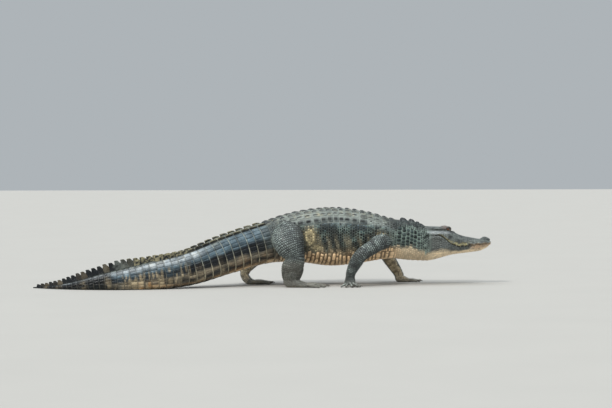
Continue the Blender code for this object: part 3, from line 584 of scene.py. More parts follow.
class Coat:
    """A surface of closed rings, read at metres along it and shares round it: 0 the outer midline, 1 the inner."""

    def __init__(self, rings, island):
        self.rings = rings
        self.normals = grid_normals(rings)
        steps = np.linalg.norm(np.diff(rings.mean(1), axis=0), axis=1)
        self.along = np.concatenate([[0], np.cumsum(steps)])
        loops = np.linalg.norm(np.diff(np.concatenate([rings, rings[:, :1]], 1), axis=1), axis=2)
        self.half_girths = loops.sum(1) / 2
        ahead, around = np.gradient(rings, axis=0), np.roll(rings, -1, 1) - np.roll(rings, 1, 1)
        self.turned = (np.cross(ahead, around) * self.normals).sum() < 0
        self.island = island

    def half_girth(self, s):
        return np.interp(s, self.along, self.half_girths)

    def at(self, s, g):
        """Points and normals."""
        i = np.clip(np.interp(s, self.along, np.arange(len(self.along))), 0, len(self.along) - 1.001)
        count = self.rings.shape[1]
        j = (np.asarray(g) % 2) / 2 * count
        i0, j0 = np.floor(i).astype(int), np.floor(j).astype(int)
        u, v = (i - i0)[..., None], (j - j0)[..., None]
        j0, j1 = j0 % count, (j0 + 1) % count

        def read(grid):
            near = grid[i0, j0] * (1 - v) + grid[i0, j1] * v
            far = grid[i0 + 1, j0] * (1 - v) + grid[i0 + 1, j1] * v
            return near * (1 - u) + far * u

        return read(self.rings), unit(read(self.normals))

    def unwrapped(self, s, g):
        """Where a place lies on the unwrap of this surface."""
        left, bottom, width, height = self.island
        return np.stack([left + width * s / self.along[-1], bottom + height * ((np.asarray(g) + 1) % 2) / 2], -1)


class Joined:
    """One joined mesh of many plates in the making."""

    def __init__(self, name):
        self.name = name
        self.points, self.faces, self.maps, self.hides, self.details = [], [], [], [], []
        self.count = 0

    def add(self, points, quads, base, maps, hides, details, turned):
        plates, corners = points.shape[:2]
        starts = self.count + np.arange(plates) * corners
        for block in (np.asarray(quads), np.asarray([base])):
            block = block[:, ::-1] if turned else block
            self.faces.extend((starts[:, None, None] + block[None]).reshape(-1, block.shape[1]).tolist())
        self.count += plates * corners
        for store, values in ((self.points, points), (self.maps, maps), (self.hides, hides), (self.details, details)):
            store.append(values.reshape(plates * corners, -1))

    def piece(self, material):
        mesh = bpy.data.meshes.new(self.name)
        points = np.concatenate(self.points)
        points[:, 2] = np.maximum(points[:, 2], FLOOR_CLEAR)
        mesh.from_pydata(points.tolist(), [], self.faces)
        corners = np.empty(len(mesh.loops), np.int32)
        mesh.loops.foreach_get("vertex_index", corners)
        layer = mesh.uv_layers.new(name="OFBake")
        layer.data.foreach_set("uv", np.concatenate(self.maps)[corners].astype(np.float32).ravel())
        add_marks(mesh, np.concatenate(self.hides), np.concatenate(self.details))
        return rigid(mesh, self.name, material)


def add_marks(mesh, hides, details):
    """Stores the hide's colour, and the rim, tone and ridge of each scale, for the materials to read."""
    colour = mesh.attributes.new("hide", "FLOAT_COLOR", "POINT")
    colour.data.foreach_set("color", np.column_stack([hides, np.ones(len(hides))]).astype(np.float32).ravel())
    detail = mesh.attributes.new("detail", "FLOAT_VECTOR", "POINT")
    detail.data.foreach_set("vector", details.astype(np.float32).ravel())


def rigid(mesh, name, material):
    """An object of a finished mesh, smooth, with its material."""
    mesh.polygons.foreach_set("use_smooth", np.ones(len(mesh.polygons), bool))
    mesh.materials.clear()
    mesh.materials.append(material)
    mesh.update()
    obj = bpy.data.objects.new(name, mesh)
    bpy.context.scene.collection.objects.link(obj)
    return obj


SMALL = (-1, -0.74, 0.74, 1)
MEDIUM = (-1, -0.84, -0.32, 0.32, 0.84, 1)
LONG = (-1, -0.88, -0.58, -0.26, 0.10, 0.50, 0.86, 1)
WIDE = (-1, -0.86, -0.50, -0.20, 0, 0.20, 0.50, 0.86, 1)
FIN = (-1, -0.55, 0, 0.55, 1)


def plate_grid(longs, wides):
    """Local places along and across of one plate's points, its faces, and the loop of its base."""
    a, b = np.meshgrid(longs, wides, indexing="ij")
    rows, columns = a.shape
    index = np.arange(rows * columns).reshape(rows, columns)
    quads = np.stack([index[:-1, :-1], index[1:, :-1], index[1:, 1:], index[:-1, 1:]], -1).reshape(-1, 4)
    rim = [*index[0, :-1], *index[:-1, -1], *index[-1, :0:-1], *index[:0:-1, 0]]
    return a.ravel(), b.ravel(), quads, rim


def grow(joined, coat, s, g, half_long, half_wide, height, hide, grid=(SMALL, SMALL), corner=0.30, sink=0.0035, lean=0.0, taper=0.0, ridge=None, turn=0.0, even=True):
    """Adds plates that follow a coat. height(a, b) gives how high each stands over its own face, from -1 to 1 both
    ways, and hide(points, s, g) their colours. The rim sinks into the skin."""
    s, g = np.atleast_1d(s), np.atleast_1d(g)
    if not len(s):
        return
    half_long, half_wide, turn = (np.broadcast_to(v, s.shape)[:, None] for v in (half_long, half_wide, turn))
    a, b, quads, base = plate_grid(*grid)
    edge = np.maximum(np.abs(a), np.abs(b)) > 0.999
    lift = np.where(edge, -sink, height(a[None], b[None]))
    lift = np.broadcast_to(lift, (len(s), len(a)))
    out = a * np.sqrt(1 - corner * b * b / 2), b * np.sqrt(1 - corner * a * a / 2)
    high = np.clip(lift / np.maximum(lift.max(1, keepdims=True), 1e-6), 0, 1)
    p = out[0][None] * half_long - lean * np.maximum(lift, 0)
    q = out[1][None] * half_wide * (1 - taper * high)
    p, q = p * np.cos(turn) - q * np.sin(turn), p * np.sin(turn) + q * np.cos(turn)
    at_s, at_g = s[:, None] + p, g[:, None] + q / coat.half_girth(s)[:, None]
    points, normals = coat.at(at_s, at_g)
    points = points + normals * lift[..., None]
    roots, facing = coat.at(s, g)
    keep, shift = fitted(roots, facing)
    shade = random_draws.random(len(s))
    if even:
        colours = np.repeat(hide(roots, s, g)[:, None], len(a), 1)
    else:
        colours = hide(points, at_s, at_g)
    rim = np.maximum(np.abs(out[0]), np.abs(out[1]))[None] ** 3
    crest = np.zeros_like(lift) if ridge is None else np.broadcast_to(ridge(a[None], b[None]), lift.shape)
    details = np.stack([np.broadcast_to(rim, lift.shape), np.broadcast_to(shade[:, None], lift.shape), crest], -1)
    patch = np.clip(np.minimum(half_long / coat.along[-1] * coat.island[2], half_wide / coat.half_girth(s)[:, None] * coat.island[3] / 2), 0.0015, 0.0030)
    maps = coat.unwrapped(s, g)[:, None] + np.stack([out[0][None] * patch, out[1][None] * patch], -1)
    joined.add((points + shift[:, None])[keep], quads, base, maps[keep], colours[keep], details[keep], coat.turned)


skin_tree = None


def fitted(roots, facing):
    """Which roots lie on the finished skin, and how far each is moved to meet it."""
    keep, shift = np.ones(len(roots), bool), np.zeros((len(roots), 3))
    for i, (root, normal) in enumerate(zip(roots, facing)):
        place, out, _, away = skin_tree.find_nearest(Vector(root))
        keep[i] = away < 0.0075 and out.dot(Vector(normal)) > 0.55
        shift[i] = np.array(place) - root
    return keep, shift


def bricks(edges, count_of, first, last, jitter=0.0, stagger=0.5):
    """Centres and half sizes of scales in rows. edges part the rows along the coat, and first(s), last(s) give
    where a row starts and ends, in metres round from the midline, on each side."""
    found = []
    for row, (low, high) in enumerate(zip(edges, edges[1:])):
        s = (low + high) / 2
        start, end = first(s), last(s)
        if end - start < 0.004:
            continue
        widths = count_of(s, start, end)
        marks = start + np.concatenate([[0], np.cumsum(widths)]) * (end - start) / np.sum(widths)
        if row % 2 and stagger:
            marks = np.concatenate([marks[:1], marks[:-1] + stagger * np.diff(marks), marks[-1:]])
        for m0, m1 in zip(marks, marks[1:]):
            if m1 - m0 > 0.003:
                for side in (1, -1):
                    found.append((s, side * (m0 + m1) / 2, (high - low) / 2, (m1 - m0) / 2))
    found = np.array(found)
    if jitter:
        found[:, 0] += (random_draws.random(len(found)) - 0.5) * jitter * found[:, 2]
        found[:, 1] += (random_draws.random(len(found)) - 0.5) * jitter * found[:, 3]
        found[:, 2:] *= 1 - jitter * random_draws.random((len(found), 1)) * 0.6
    return found


def even_rows(start, end, first, last):
    """Marks from start to end, first apart at the start and last apart at the end."""
    count = max(1, round(abs(end - start) / ((first + last) / 2)))
    widths = np.linspace(first, last, count)
    return start + np.concatenate([[0], np.cumsum(widths)]) * (end - start) / widths.sum()


# The measured body, shared by all the makers


def measure():
    """The rings of the whole skin, and the coats that scales grow from."""
    spine_x = np.linspace(TAIL_TIP, HEAD_FROM, 4000)
    middles = spine_frames(spine_x)[0]
    lengths = np.concatenate([[0], np.cumsum(np.linalg.norm(np.diff(middles, axis=0), axis=1))])
    count = int(round(lengths[-1] / BODY_STEP)) + 1
    stations = np.interp(np.linspace(0, lengths[-1], count), lengths, spine_x)
    shape = {"stations": stations, "body": respaced(body_rings(stations, skin_depth()), ROUND)}
    shape["head_stations"], shape["head"] = head_rings()
    shown = shape["head_stations"] < 1.235
    onward = shape["head_stations"][shown][2::3]
    body_coat = Coat(np.concatenate([shape["body"], respaced(shape["head"][shown][2::3], ROUND)]), (0.02, 0.02, 0.96, 0.50))
    body_coat.x = np.concatenate([stations, onward])
    shape["body_coat"] = body_coat
    behind = shape["head_stations"] > 1.10
    head_coat = Coat(respaced(shape["head"][behind], 192), (0.02, 0.54, 0.30, 0.44))
    head_coat.x = shape["head_stations"][behind]
    steps = np.linalg.norm(np.diff(shape["head"][behind][:, : ROUND + 1], axis=1), axis=2)
    shares = np.concatenate([np.zeros((len(steps), 1)), np.cumsum(steps, 1)], 1)
    head_coat.shares = shares / shares[:, -1:]
    shape["head_coat"] = head_coat
    shape["limbs"], shape["feet"], shape["digits"] = {}, {}, {}
    for i, name in enumerate(LIMBS):
        shape["limbs"][name] = Coat(limb_rings(name, 0.0012), (0.34 + 0.16 * i, 0.54, 0.15, 0.20))
        shape["feet"][name] = Coat(foot_rings(name, 0.0006), (0.34 + 0.16 * i, 0.76, 0.15, 0.10))
        for j, (root, _, length, radius, drop, _, direction) in enumerate(digits_of(name)):
            island = (0.34 + 0.16 * i + 0.03 * j, 0.88, 0.028, 0.10)
            shape["digits"][name, j] = Coat(digit_rings(root, length, radius, drop, direction, 0.0004), island)
    return shape


shape = {}


def along_at(x):
    """Metres along the body's coat at a forward position."""
    coat = shape["body_coat"]
    return np.interp(x, coat.x, coat.along)


def forward_at(s):
    coat = shape["body_coat"]
    return np.interp(s, coat.along, coat.x)


# The hide's colours, the same on the skin and on what grows from it


def looks():
    return bpy.context.scene.alligator_looks


def skin_depth():
    return looks().skin_depth


def tone(name):
    return np.array(getattr(looks(), name))


TAIL_BANDS = (-1.455, -1.366, -1.208, -1.051, -0.906, -0.770, -0.607, -0.473, -0.338)
FLANK_STREAKS = ((0.362, 1.0), (0.431, 1.0), (0.497, 1.0), (0.575, 1.0), (0.605, 0.8), (0.670, 0.7), (0.735, 0.6))


def body_hide(points, s, g, gap=False):
    """Colours of the trunk, neck and tail."""
    x, r = forward_at(s), np.abs((np.asarray(g) + 1) % 2 - 1)
    z = points[..., 2]
    patchy, fine = mottle(points, 0.060, 1), mottle(points, 0.019, 2)
    r = r + 0.045 * (mottle(points, 0.045, 5) - 0.5)
    middle = ramp(0.02, 0.22, x) * ramp(0.90, 0.74, x)
    pale = 0.10 + 1.1 * patchy * fine + 0.75 * ramp(0.37, 0.30, r) * middle - 0.12 * ramp(0.86, 0.94, x)
    hide = blend(tone("slate_dark"), tone("slate_pale"), np.clip(pale, 0, 1))
    flank = ramp(0.32, 0.39, r) * ramp(-0.05, 0.10, x) * ramp(0.90, 0.78, x)
    scale_noise = mottle(points, 0.026, 16)
    hide = blend(hide, tone("flank_black") * (0.30 + 5.0 * ramp(0.52, 0.85, scale_noise))[..., None], 0.96 * flank)
    # A painted bluish sheen lies high on the flank.
    hide = blend(hide, tone("tail_blue") * 1.4, 0.60 * bell(r, 0.345, 0.045) * ramp(0.16, 0.28, x) * ramp(0.90, 0.80, x) * (0.4 + 0.6 * fine))
    tail = ramp(0.10, -0.10, x)
    # The upper tail's bluish grey is partly a painted sky sheen. The black band at mid-height is a painted reflection
    # of dark surroundings where the side turns upright, and the pale wash above it is a painted highlight.
    upper = blend(tone("tail_blue") * (0.5 + 1.2 * fine)[..., None], tone("crest_black"), np.clip(ramp(0.36, 0.44, r) * (0.88 + 0.3 * fine) * (1 - 0.30 * ramp(-0.50, -0.64, x)) + 0.8 * ramp(-1.00, -1.08, x), 0, 1))
    upper = blend(upper, tone("highlight_grey") * 1.50, 0.92 * ramp(-0.30, -0.50, x) * ramp(-1.05, -0.96, x) * ramp(0.34, 0.22, r) * (0.4 + 0.6 * fine))
    hide = blend(hide, upper, tail * ramp(0.08, 0.16, r))
    earthy = blend(tone("tail_brown"), tone("slate_dark"), np.clip(0.55 * ramp(0.40, 0.75, mottle(points, 0.030, 6)) + ramp(-0.96, -1.06, x) + 0.8 * ramp(0.80, 0.90, r), 0, 1))
    hide = blend(hide, earthy, tail * ramp(0.545, 0.60, r) * 0.95)
    bars = 0.25 + 0.75 * ramp(-0.2, 0.5, np.sin(x * 2 * math.pi / 0.062))
    orange = ramp(-0.90, -0.84, x) * ramp(-0.66, -0.70, x) * bars * ramp(0.56, 0.66, r) * 1.4 + 0.8 * ramp(-0.30, -0.27, x) * ramp(-0.12, -0.16, x) + 0.6 * ramp(-0.08, -0.04, x)
    hide = blend(hide, tone("tail_orange"), np.clip(orange, 0, 1) * tail * ramp(0.56, 0.74, r) * (0.25 + 0.75 * ramp(0.35, 0.65, fine)))
    # Yellowish flecks near the middle of the back.
    top = ramp(0.30, 0.05, r) * ramp(-1.02, -0.88, x) * ramp(0.95, 0.75, x)
    hide = blend(hide, tone("crest_yellow"), (0.34 * top + 0.40 * bell(r, 0.20, 0.03) * middle) * ramp(0.50, 0.80, fine))
    edge = np.interp(x, (-1.5, -0.9, -0.4, 0.0, 0.3, 0.55, 0.75, 0.90, 1.0, 1.05, 1.115, 1.16), (0.92, 0.92, 0.90, 0.72, 0.69, 0.69, 0.655, 0.60, 0.575, 0.605, 0.69, 0.67))
    throat = ramp(0.86, 0.98, x)
    streaky = mottle(np.stack([x, 0 * x, 0.2 * z], -1), 0.014, 15) - 0.5
    pale = ramp(edge - 0.030 - 0.02 * throat, edge + 0.035 + 0.02 * throat, r + 0.05 * (patchy - 0.5) + 0.12 * streaky * throat)
    cream = blend(tone("belly_tan"), tone("belly_cream"), np.clip(0.20 + 0.80 * patchy + 0.5 * throat, 0, 1))
    cream = blend(cream, tone("tail_brown"), 0.22 * ramp(0.55, 0.80, fine) * (1 - throat))
    cream = cream * (1 + np.array([0.22, 0.12, 0.02]) * (ramp(0.05, 0.15, x) * (1 - throat))[..., None])
    hide = blend(hide, cream, pale * (1 - 0.45 * tail))
    hide = blend(hide, tone("crest_black"), 0.97 * tail * bell(r, 0.705, 0.048) * ramp(-0.85, -0.70, x) * ramp(0.20, 0.40, patchy + 0.1))
    # A bright orange line low on the tail is painted highlight on its lit lower edge.
    hide = blend(hide, tone("tail_orange") * 1.3, 0.6 * tail * bell(r, 0.800, 0.025) * ramp(-0.95, -0.75, x) * (0.4 + 0.6 * fine))
    # Fine upright flecks of cream and tan lie low on the middle of the tail.
    streaky = mottle(np.stack([x, 0 * x, 0.25 * z], -1), 0.011, 19)
    flecks = ramp(0.50, 0.66, streaky) * ramp(0.27, 0.46, r) * ramp(-0.46, -0.60, x) * ramp(-1.07, -1.00, x)
    hide = blend(hide, tone("band_cream") * 1.1, 0.68 * flecks)
    # Tan streaks slant down the lower flank, and yellow patches lie at the groin and the shoulder.
    slant = x - 0.33 * (0.28 - z)
    streaks = np.clip(sum(share * 1.4 * bell(slant, at, 0.0150) for at, share in FLANK_STREAKS), 0, 1)
    low = ramp(0.285, 0.225, z)
    streaks = np.clip(streaks * ramp(0.375, 0.300, z) + 0.30 * low, 0, 1) * (0.45 + 0.55 * ramp(0.25, 0.50, fine + 0.15))
    tan = blend(tone("belly_tan"), tone("flank_tan"), 0.35 + 0.65 * ramp(0.20, 0.27, z))
    hide = blend(hide, tan, 0.95 * streaks * (1 - pale) * ramp(0.24, 0.30, x) * ramp(0.84, 0.80, x))
    groin = np.maximum(1.3 * patch(x, r, 0.290, 0.50, 0.036, 0.115), patch(x, r, 0.335, 0.62, 0.040, 0.050))
    groin = np.clip(groin, 0, 1)
    hide = blend(hide, tone("groin_yellow"), groin * (0.60 + 0.40 * ramp(0.28, 0.45, scale_noise)))
    hide = blend(hide, tone("groin_yellow"), 0.75 * patch(x, r, 0.812, 0.44, 0.040, 0.055) * (0.3 + 0.7 * ramp(0.3, 0.6, fine)))
    rear = ramp(-0.98, -1.06, x)
    hide = hide * (1 - 0.68 * rear)[..., None]
    # A painted highlight runs along the shoulder of the rear tail, and pale bands cross it.
    wear_and_highlight = bell(r, 0.165, 0.050) * ramp(-1.44, -1.32, x) * ramp(-0.55, -0.80, x)
    hide = blend(hide, tone("highlight_grey") * 0.9, 0.55 * wear_and_highlight * (0.4 + 0.6 * ramp(0.25, 0.5, fine)))
    bands = np.clip(sum(bell(x, at, 0.017) for at in TAIL_BANDS), 0, 1) * tail
    share = (0.06 + 0.40 * (1 - 0.6 * rear) * ramp(0.46, 0.70, r)) * ramp(0.35, 0.65, fine) + 0.20 * rear * ramp(0.15, 0.35, r) * ramp(0.2, 0.5, fine)
    hide = blend(hide, tone("band_cream"), bands * share)
    if gap:
        lines = blend(tone("rim_grey") * 1.1, tone("gap_cream"), ramp(0.38, 0.60, r)) * (0.5 + 0.9 * fine)[..., None]
        net = tone("net_grey") * (0.28 + 1.7 * ramp(0.30, 0.75, fine) * ramp(0.30, 0.70, patchy) + 1.3 * ramp(0.80, 0.95, x))[..., None]
        net = blend(net, tone("flank_tan"), 0.8 * low * ramp(0.2, 0.3, x) * ramp(0.9, 0.8, x))
        bare = hide * (0.45 + 0.4 * np.maximum(groin, streaks))[..., None]
        back = ramp(0.36, 0.31, r) * middle
        bare = blend(bare, tone("slate_pale") * 1.3, 0.75 * back)
        side = ramp(0.30, 0.35, r) * ramp(0.97, 0.88, x) * (1 - tail)
        neck = ramp(0.89, 0.97, x) * ramp(0.16, 0.24, r)
        bare = blend(bare, net, np.clip(0.85 * side * (1 - np.maximum(groin, streaks)) + 0.80 * neck, 0, 1))
        whorl = 0.70 + 0.9 * (mottle(np.stack([x * 3, 0 * x, 0 * x], -1), 0.06, 14) - 0.3) + 0.8 * ramp(0.45, 0.60, r)
        seams = tail * ramp(0.10, 0.20, r) * np.clip(whorl * (0.35 + 0.75 * fine), 0, 1) * (1 - 0.70 * ramp(-0.40, -0.62, x) - 0.20 * ramp(-0.80, -1.0, x))
        # The bare skin low on the trunk, between the pleats, is darkened further: painted shade in their valleys.
        trunk = ramp(0.00, 0.08, x) * ramp(0.90, 0.86, x) * ramp(0.90, 0.86, r)
        hide = blend(blend(bare, lines, 0.92 * seams), hide * (0.62 + 0.16 * throat - 0.38 * trunk)[..., None], pale * (1 - 0.6 * tail))
    grey = ramp(1.10, 1.16, x)
    return blend(hide, head_hide(points), grey)


def patch(x, r, middle, round_, wide, high):
    return np.clip(1.35 * np.exp(-(((x - middle) / wide) ** 2) - ((r - round_) / high) ** 2), 0, 1)


def head_hide(points, *_):
    """Colours of the head, from the place of each point."""
    x, y, z = points[..., 0] + MIDDLE[0], points[..., 1] + MIDDLE[1], points[..., 2]
    lip, chin = lip_height(x), smooth(HEAD, x, 3)
    fine, broad = mottle(points, 0.010, 7), mottle(points, 0.034, 8)
    grey = blend(tone("head_grey"), tone("head_dark"), ramp(0.32, 0.68, 0.5 * fine + 0.5 * broad))
    top = ramp(0.45, 0.9, (z - lip) / np.maximum(smooth(HEAD, x, 1) - lip, 0.01))
    # Painted shade in the hollow in front of the eyes, at the top of the snout.
    snout_shade = bell(x, 1.312, 0.024) * ramp(0.352, 0.362, z)
    grey = blend(grey, tone("head_dark") * 0.6, 0.7 * snout_shade)
    grey = blend(grey, tone("head_dark"), 0.35 * top * ramp(1.26, 1.34, x))
    brow = bell(x, EYE[0] - 0.004, 0.030) * bell(np.abs(y), EYE[1], 0.024) * ramp(0.366, 0.388, z)
    grey = blend(grey, tone("brow_brown"), 0.75 * brow)
    # The cheek ridge and the skull table get painted highlight.
    ridge = ramp(0.345, 0.352, z) * ramp(0.369, 0.363, z) * ramp(1.085, 1.10, x) * ramp(1.30, 1.25, x) * ramp(0.06, 0.08, np.abs(y))
    table = ramp(0.382, 0.390, z) * ramp(1.12, 1.15, x) * ramp(1.25, 1.235, x)
    grey = blend(grey, tone("highlight_grey"), np.clip(0.95 * ridge + 0.12 * table, 0, 1) * (0.6 + 0.4 * fine))
    # The ear slit and the groove under the cheek ridge are darkened with painted shade.
    slit = bell(z, 0.3745, 0.0055) * ramp(1.135, 1.155, x) * ramp(1.262, 1.240, x) * ramp(0.050, 0.060, np.abs(y))
    hollow_line = np.interp(x, (1.085, 1.110, 1.130, 1.175, 1.210), (0.318, 0.329, 0.336, 0.3400, 0.3380))
    recess = bell(z, hollow_line, 0.0065) * ramp(1.085, 1.11, x) * ramp(1.235, 1.21, x) * ramp(0.09, 0.11, np.abs(y))
    grey = blend(grey, tone("head_dark") * 0.30, np.clip(0.9 * slit + 0.9 * recess, 0, 1))
    low = (z - chin) / np.maximum(lip - chin, 0.01)
    below = ramp(0.0, -0.003, z - lip)
    jaw = blend(tone("jaw_grey"), grey, 0.5 * broad)
    front = ramp(1.40, 1.47, x)
    jaw = blend(jaw, tone("jaw_pink"), front * (0.55 + 0.45 * fine))
    level = 0.30 + 0.10 * ramp(1.13, 1.20, x)
    under = ramp(level + 0.10, level - 0.12, low + 0.10 * (broad - 0.5))
    jaw = blend(jaw, tone("belly_cream") * 1.45, np.clip(under, 0, 1) * (0.82 + 0.18 * fine))
    hide = blend(grey, jaw, below)
    band = bell(z - lip, 0.0090, 0.0095) * ramp(-0.001, 0.001, z - lip) * ramp(1.255, 1.305, x) * ramp(1.425, 1.385, x)
    band = band + 0.55 * bell(z - lip, 0.0060, 0.0060) * ramp(1.185, 1.205, x) * ramp(1.290, 1.265, x)
    hide = blend(hide, tone("lip_yellow"), np.clip(1.15 * band, 0, 1) * ramp(0.15, 0.60, fine + 0.1))
    rim = bell(z - lip, 0.001, 0.004) * ramp(1.40, 1.44, x)
    hide = blend(hide, tone("jaw_pink"), 0.45 * rim)
    # The line of the mouth is darkened with painted shade.
    mouth = bell(z - lip, -0.0020, 0.0026) * ramp(1.19, 1.22, x) * 0.85
    return blend(hide, tone("head_dark") * 0.35, mouth)


def limb_hide(name):
    """A function for the colours of a limb: grey outside and mottled tan inside."""

    def hide(points, s, g, gap=False):
        r = np.abs((np.asarray(g) + 1) % 2 - 1)
        fine, broad = mottle(points, 0.014, 9), mottle(points, 0.042, 10)
        grey = blend(tone("limb_grey"), tone("limb_dark"), ramp(0.25, 0.75, 0.5 * fine + 0.5 * broad))
        tan = blend(tone("limb_tan"), tone("tail_brown"), 0.8 * ramp(0.45, 0.70, fine))
        front = np.sin(math.pi * np.asarray(g)) * (1 if name.endswith("left") else -1)
        if name.startswith("hind"):
            # Painted highlight on the top and rear of the thigh, and painted shade on its front.
            high = ramp(0.24, 0.32, points[..., 2])
            grey = grey * (1 + 0.55 * ramp(0.0, 0.7, -front) * high + 0.5 * high * ramp(0.45, 0.70, broad))[..., None]
            grey = grey * (1 - 0.78 * ramp(0.45, 0.90, front + 0.2 * (broad - 0.5)) * ramp(0.16, 0.22, points[..., 2]))[..., None]
        else:
            grey = grey * (0.55 + 0.9 * ramp(0.35, 0.65, mottle(points, 0.030, 17)))[..., None]
        found = blend(grey, tan, ramp(0.56, 0.74, r + 0.16 * (broad - 0.5)))
        dust = ramp(0.075, 0.0, points[..., 2]) * (0.45 + 0.65 * broad)
        found = blend(found, tone("tail_brown") * 0.8, 0.40 * ramp(0.20, 0.15, points[..., 2]) * (name == "hind_right"))
        dust = dust * {"fore_right": 0.40, "hind_right": 0.60}.get(name, 1.0)
        found = blend(found, tone("dust"), np.clip(0.90 * dust, 0, 1))
        if name == "hind_right":
            found = found * (1 - 0.22 * ramp(0.21, 0.17, points[..., 2]))[..., None]
        if not gap:
            return found
        smooth_skin = ramp(0.20, 0.15, points[..., 2]) if name.startswith("hind") else 0
        return found * (0.16 + 0.40 * np.maximum(smooth_skin, ramp(0.55, 0.75, r)))[..., None]

    return hide


# The skin


def select_only(obj):
    bpy.ops.object.select_all(action="DESELECT")
    obj.select_set(True)
    bpy.context.view_layer.objects.active = obj


def mesh_object(name, points, faces):
    mesh = bpy.data.meshes.new(name)
    mesh.from_pydata(np.asarray(points).reshape(-1, 3).tolist(), [], faces)
    obj = bpy.data.objects.new(name, mesh)
    bpy.context.scene.collection.objects.link(obj)
    return obj


def tube_faces(count, sides, start=0):
    """Faces that join rings of the same count of points."""
    i, j = np.meshgrid(np.arange(count - 1), np.arange(sides), indexing="ij")
    near, far = start + i * sides, start + (i + 1) * sides
    following = (j + 1) % sides
    return np.stack([near + j, far + j, far + following, near + following], -1).reshape(-1, 4).tolist()


def tube_object(name, rings):
    """A closed tube, facing outwards."""
    count, sides = rings.shape[:2]
    faces = tube_faces(count, sides)
    faces += [list(range(sides)), list(range((count - 1) * sides, count * sides))[::-1]]
    obj = mesh_object(name, rings, faces)
    ahead, around = np.gradient(rings, axis=0), np.roll(rings, -1, 1) - np.roll(rings, 1, 1)
    if (np.cross(ahead, around) * (rings - rings.mean(1, keepdims=True))).sum() < 0:
        obj.data.flip_normals()
    return obj


def trunk_object():
    """The tail, trunk, neck and head as one mesh: the head's rings have twice the points of the body's."""
    body, head = shape["body"], shape["head"][1:]
    n, m = len(body), len(head)
    first = n * ROUND
    faces = tube_faces(n, ROUND) + tube_faces(m, 2 * ROUND, first)
    last = (n - 1) * ROUND
    for j in range(ROUND):
        after, fine = (j + 1) % ROUND, first + 2 * j
        faces.append([last + j, fine, fine + 1, first + (2 * j + 2) % (2 * ROUND), last + after])
    points = np.concatenate([body.reshape(-1, 3), head.reshape(-1, 3)])
    tips = np.array([body[0].mean(0) - [0.001, 0, 0], head[-1].mean(0) + [0.0002, 0, 0]])
    tail, snout = len(points), len(points) + 1
    faces += [[tail, (j + 1) % ROUND, j][::-1] for j in range(ROUND)]
    end = first + (m - 1) * 2 * ROUND
    faces += [[snout, end + j, end + (j + 1) % (2 * ROUND)][::-1] for j in range(2 * ROUND)]
    obj = mesh_object("hide_skin", np.concatenate([points, tips]), faces)
    select_only(obj)
    bpy.ops.object.mode_set(mode="EDIT")
    bpy.ops.mesh.select_all(action="SELECT")
    bpy.ops.mesh.normals_make_consistent(inside=False)
    bpy.ops.object.mode_set(mode="OBJECT")
    return obj


def ball(name, centre, radii, tilt=0.0, segments=28, rings=16):
    """A stretched ball, as a cutter or a piece."""
    bpy.ops.object.select_all(action="DESELECT")
    bpy.ops.mesh.primitive_uv_sphere_add(segments=segments, ring_count=rings, radius=1, location=(0, 0, 0))
    obj = bpy.context.active_object
    obj.name = obj.data.name = name
    turn = Matrix.Rotation(tilt, 4, "Y")
    obj.data.transform(Matrix.Translation(Vector(placed(*centre))) @ turn @ Matrix.Diagonal((*radii, 1)))
    return obj


def combine(obj, others, operation):
    """Joins or cuts obj by the others, and removes them."""
    tools = bpy.data.collections.new("tools")
    bpy.context.scene.collection.children.link(tools)
    for other in others:
        for holder in list(other.users_collection):
            holder.objects.unlink(other)
        tools.objects.link(other)
    modifier = obj.modifiers.new(operation.lower(), "BOOLEAN")
    modifier.operation, modifier.operand_type = operation, "COLLECTION"
    modifier.collection, modifier.solver = tools, "MANIFOLD"
    select_only(obj)
    bpy.ops.object.modifier_apply(modifier=modifier.name)
    for other in others:
        bpy.data.objects.remove(other)
    bpy.data.collections.remove(tools)


def mesh_points(mesh):
    points = np.empty(len(mesh.vertices) * 3, np.float32)
    mesh.vertices.foreach_get("co", points)
    return points.reshape(-1, 3).astype(float)


def relax(mesh, seams, rounds=14):
    """Smooths the skin round the lines where limbs and digits join it. seams is [(points, reach)]."""
    points = mesh_points(mesh)
    weight = np.zeros(len(points))
    for line, reach in seams:
        if not len(line):
            continue
        tree = KDTree(len(line))
        for i, place in enumerate(line):
            tree.insert(place, i)
        tree.balance()
        low, high = line.min(0) - reach, line.max(0) + reach
        for i in np.nonzero(((points > low) & (points < high)).all(1))[0]:
            weight[i] = max(weight[i], float(ramp(reach, 0.0, tree.find(points[i])[2])))
    edges = np.empty(len(mesh.edges) * 2, np.int32)
    mesh.edges.foreach_get("vertices", edges)
    a, b = edges.reshape(-1, 2).T
    degree = np.bincount(a, minlength=len(points)) + np.bincount(b, minlength=len(points))
    for _ in range(rounds):
        total = np.zeros_like(points)
        for axis in range(3):
            total[:, axis] = np.bincount(a, points[b, axis], len(points)) + np.bincount(b, points[a, axis], len(points))
        points += (total / degree[:, None] - points) * (0.6 * weight)[:, None]
    return points


def foot_share(name, coat, s, g):
    """How far round a limb the colours of a foot lie: grey on top and outside, tan on the inner side and the sole."""
    normals = coat.at(s, g)[1]
    side = 1 if name.endswith("left") else -1
    return 0.30 + 0.60 * ramp(0.10, 0.75, -side * normals[..., 1]) * ramp(0.110, 0.070, s) + 0.45 * ramp(0.3, 0.9, -normals[..., 2])


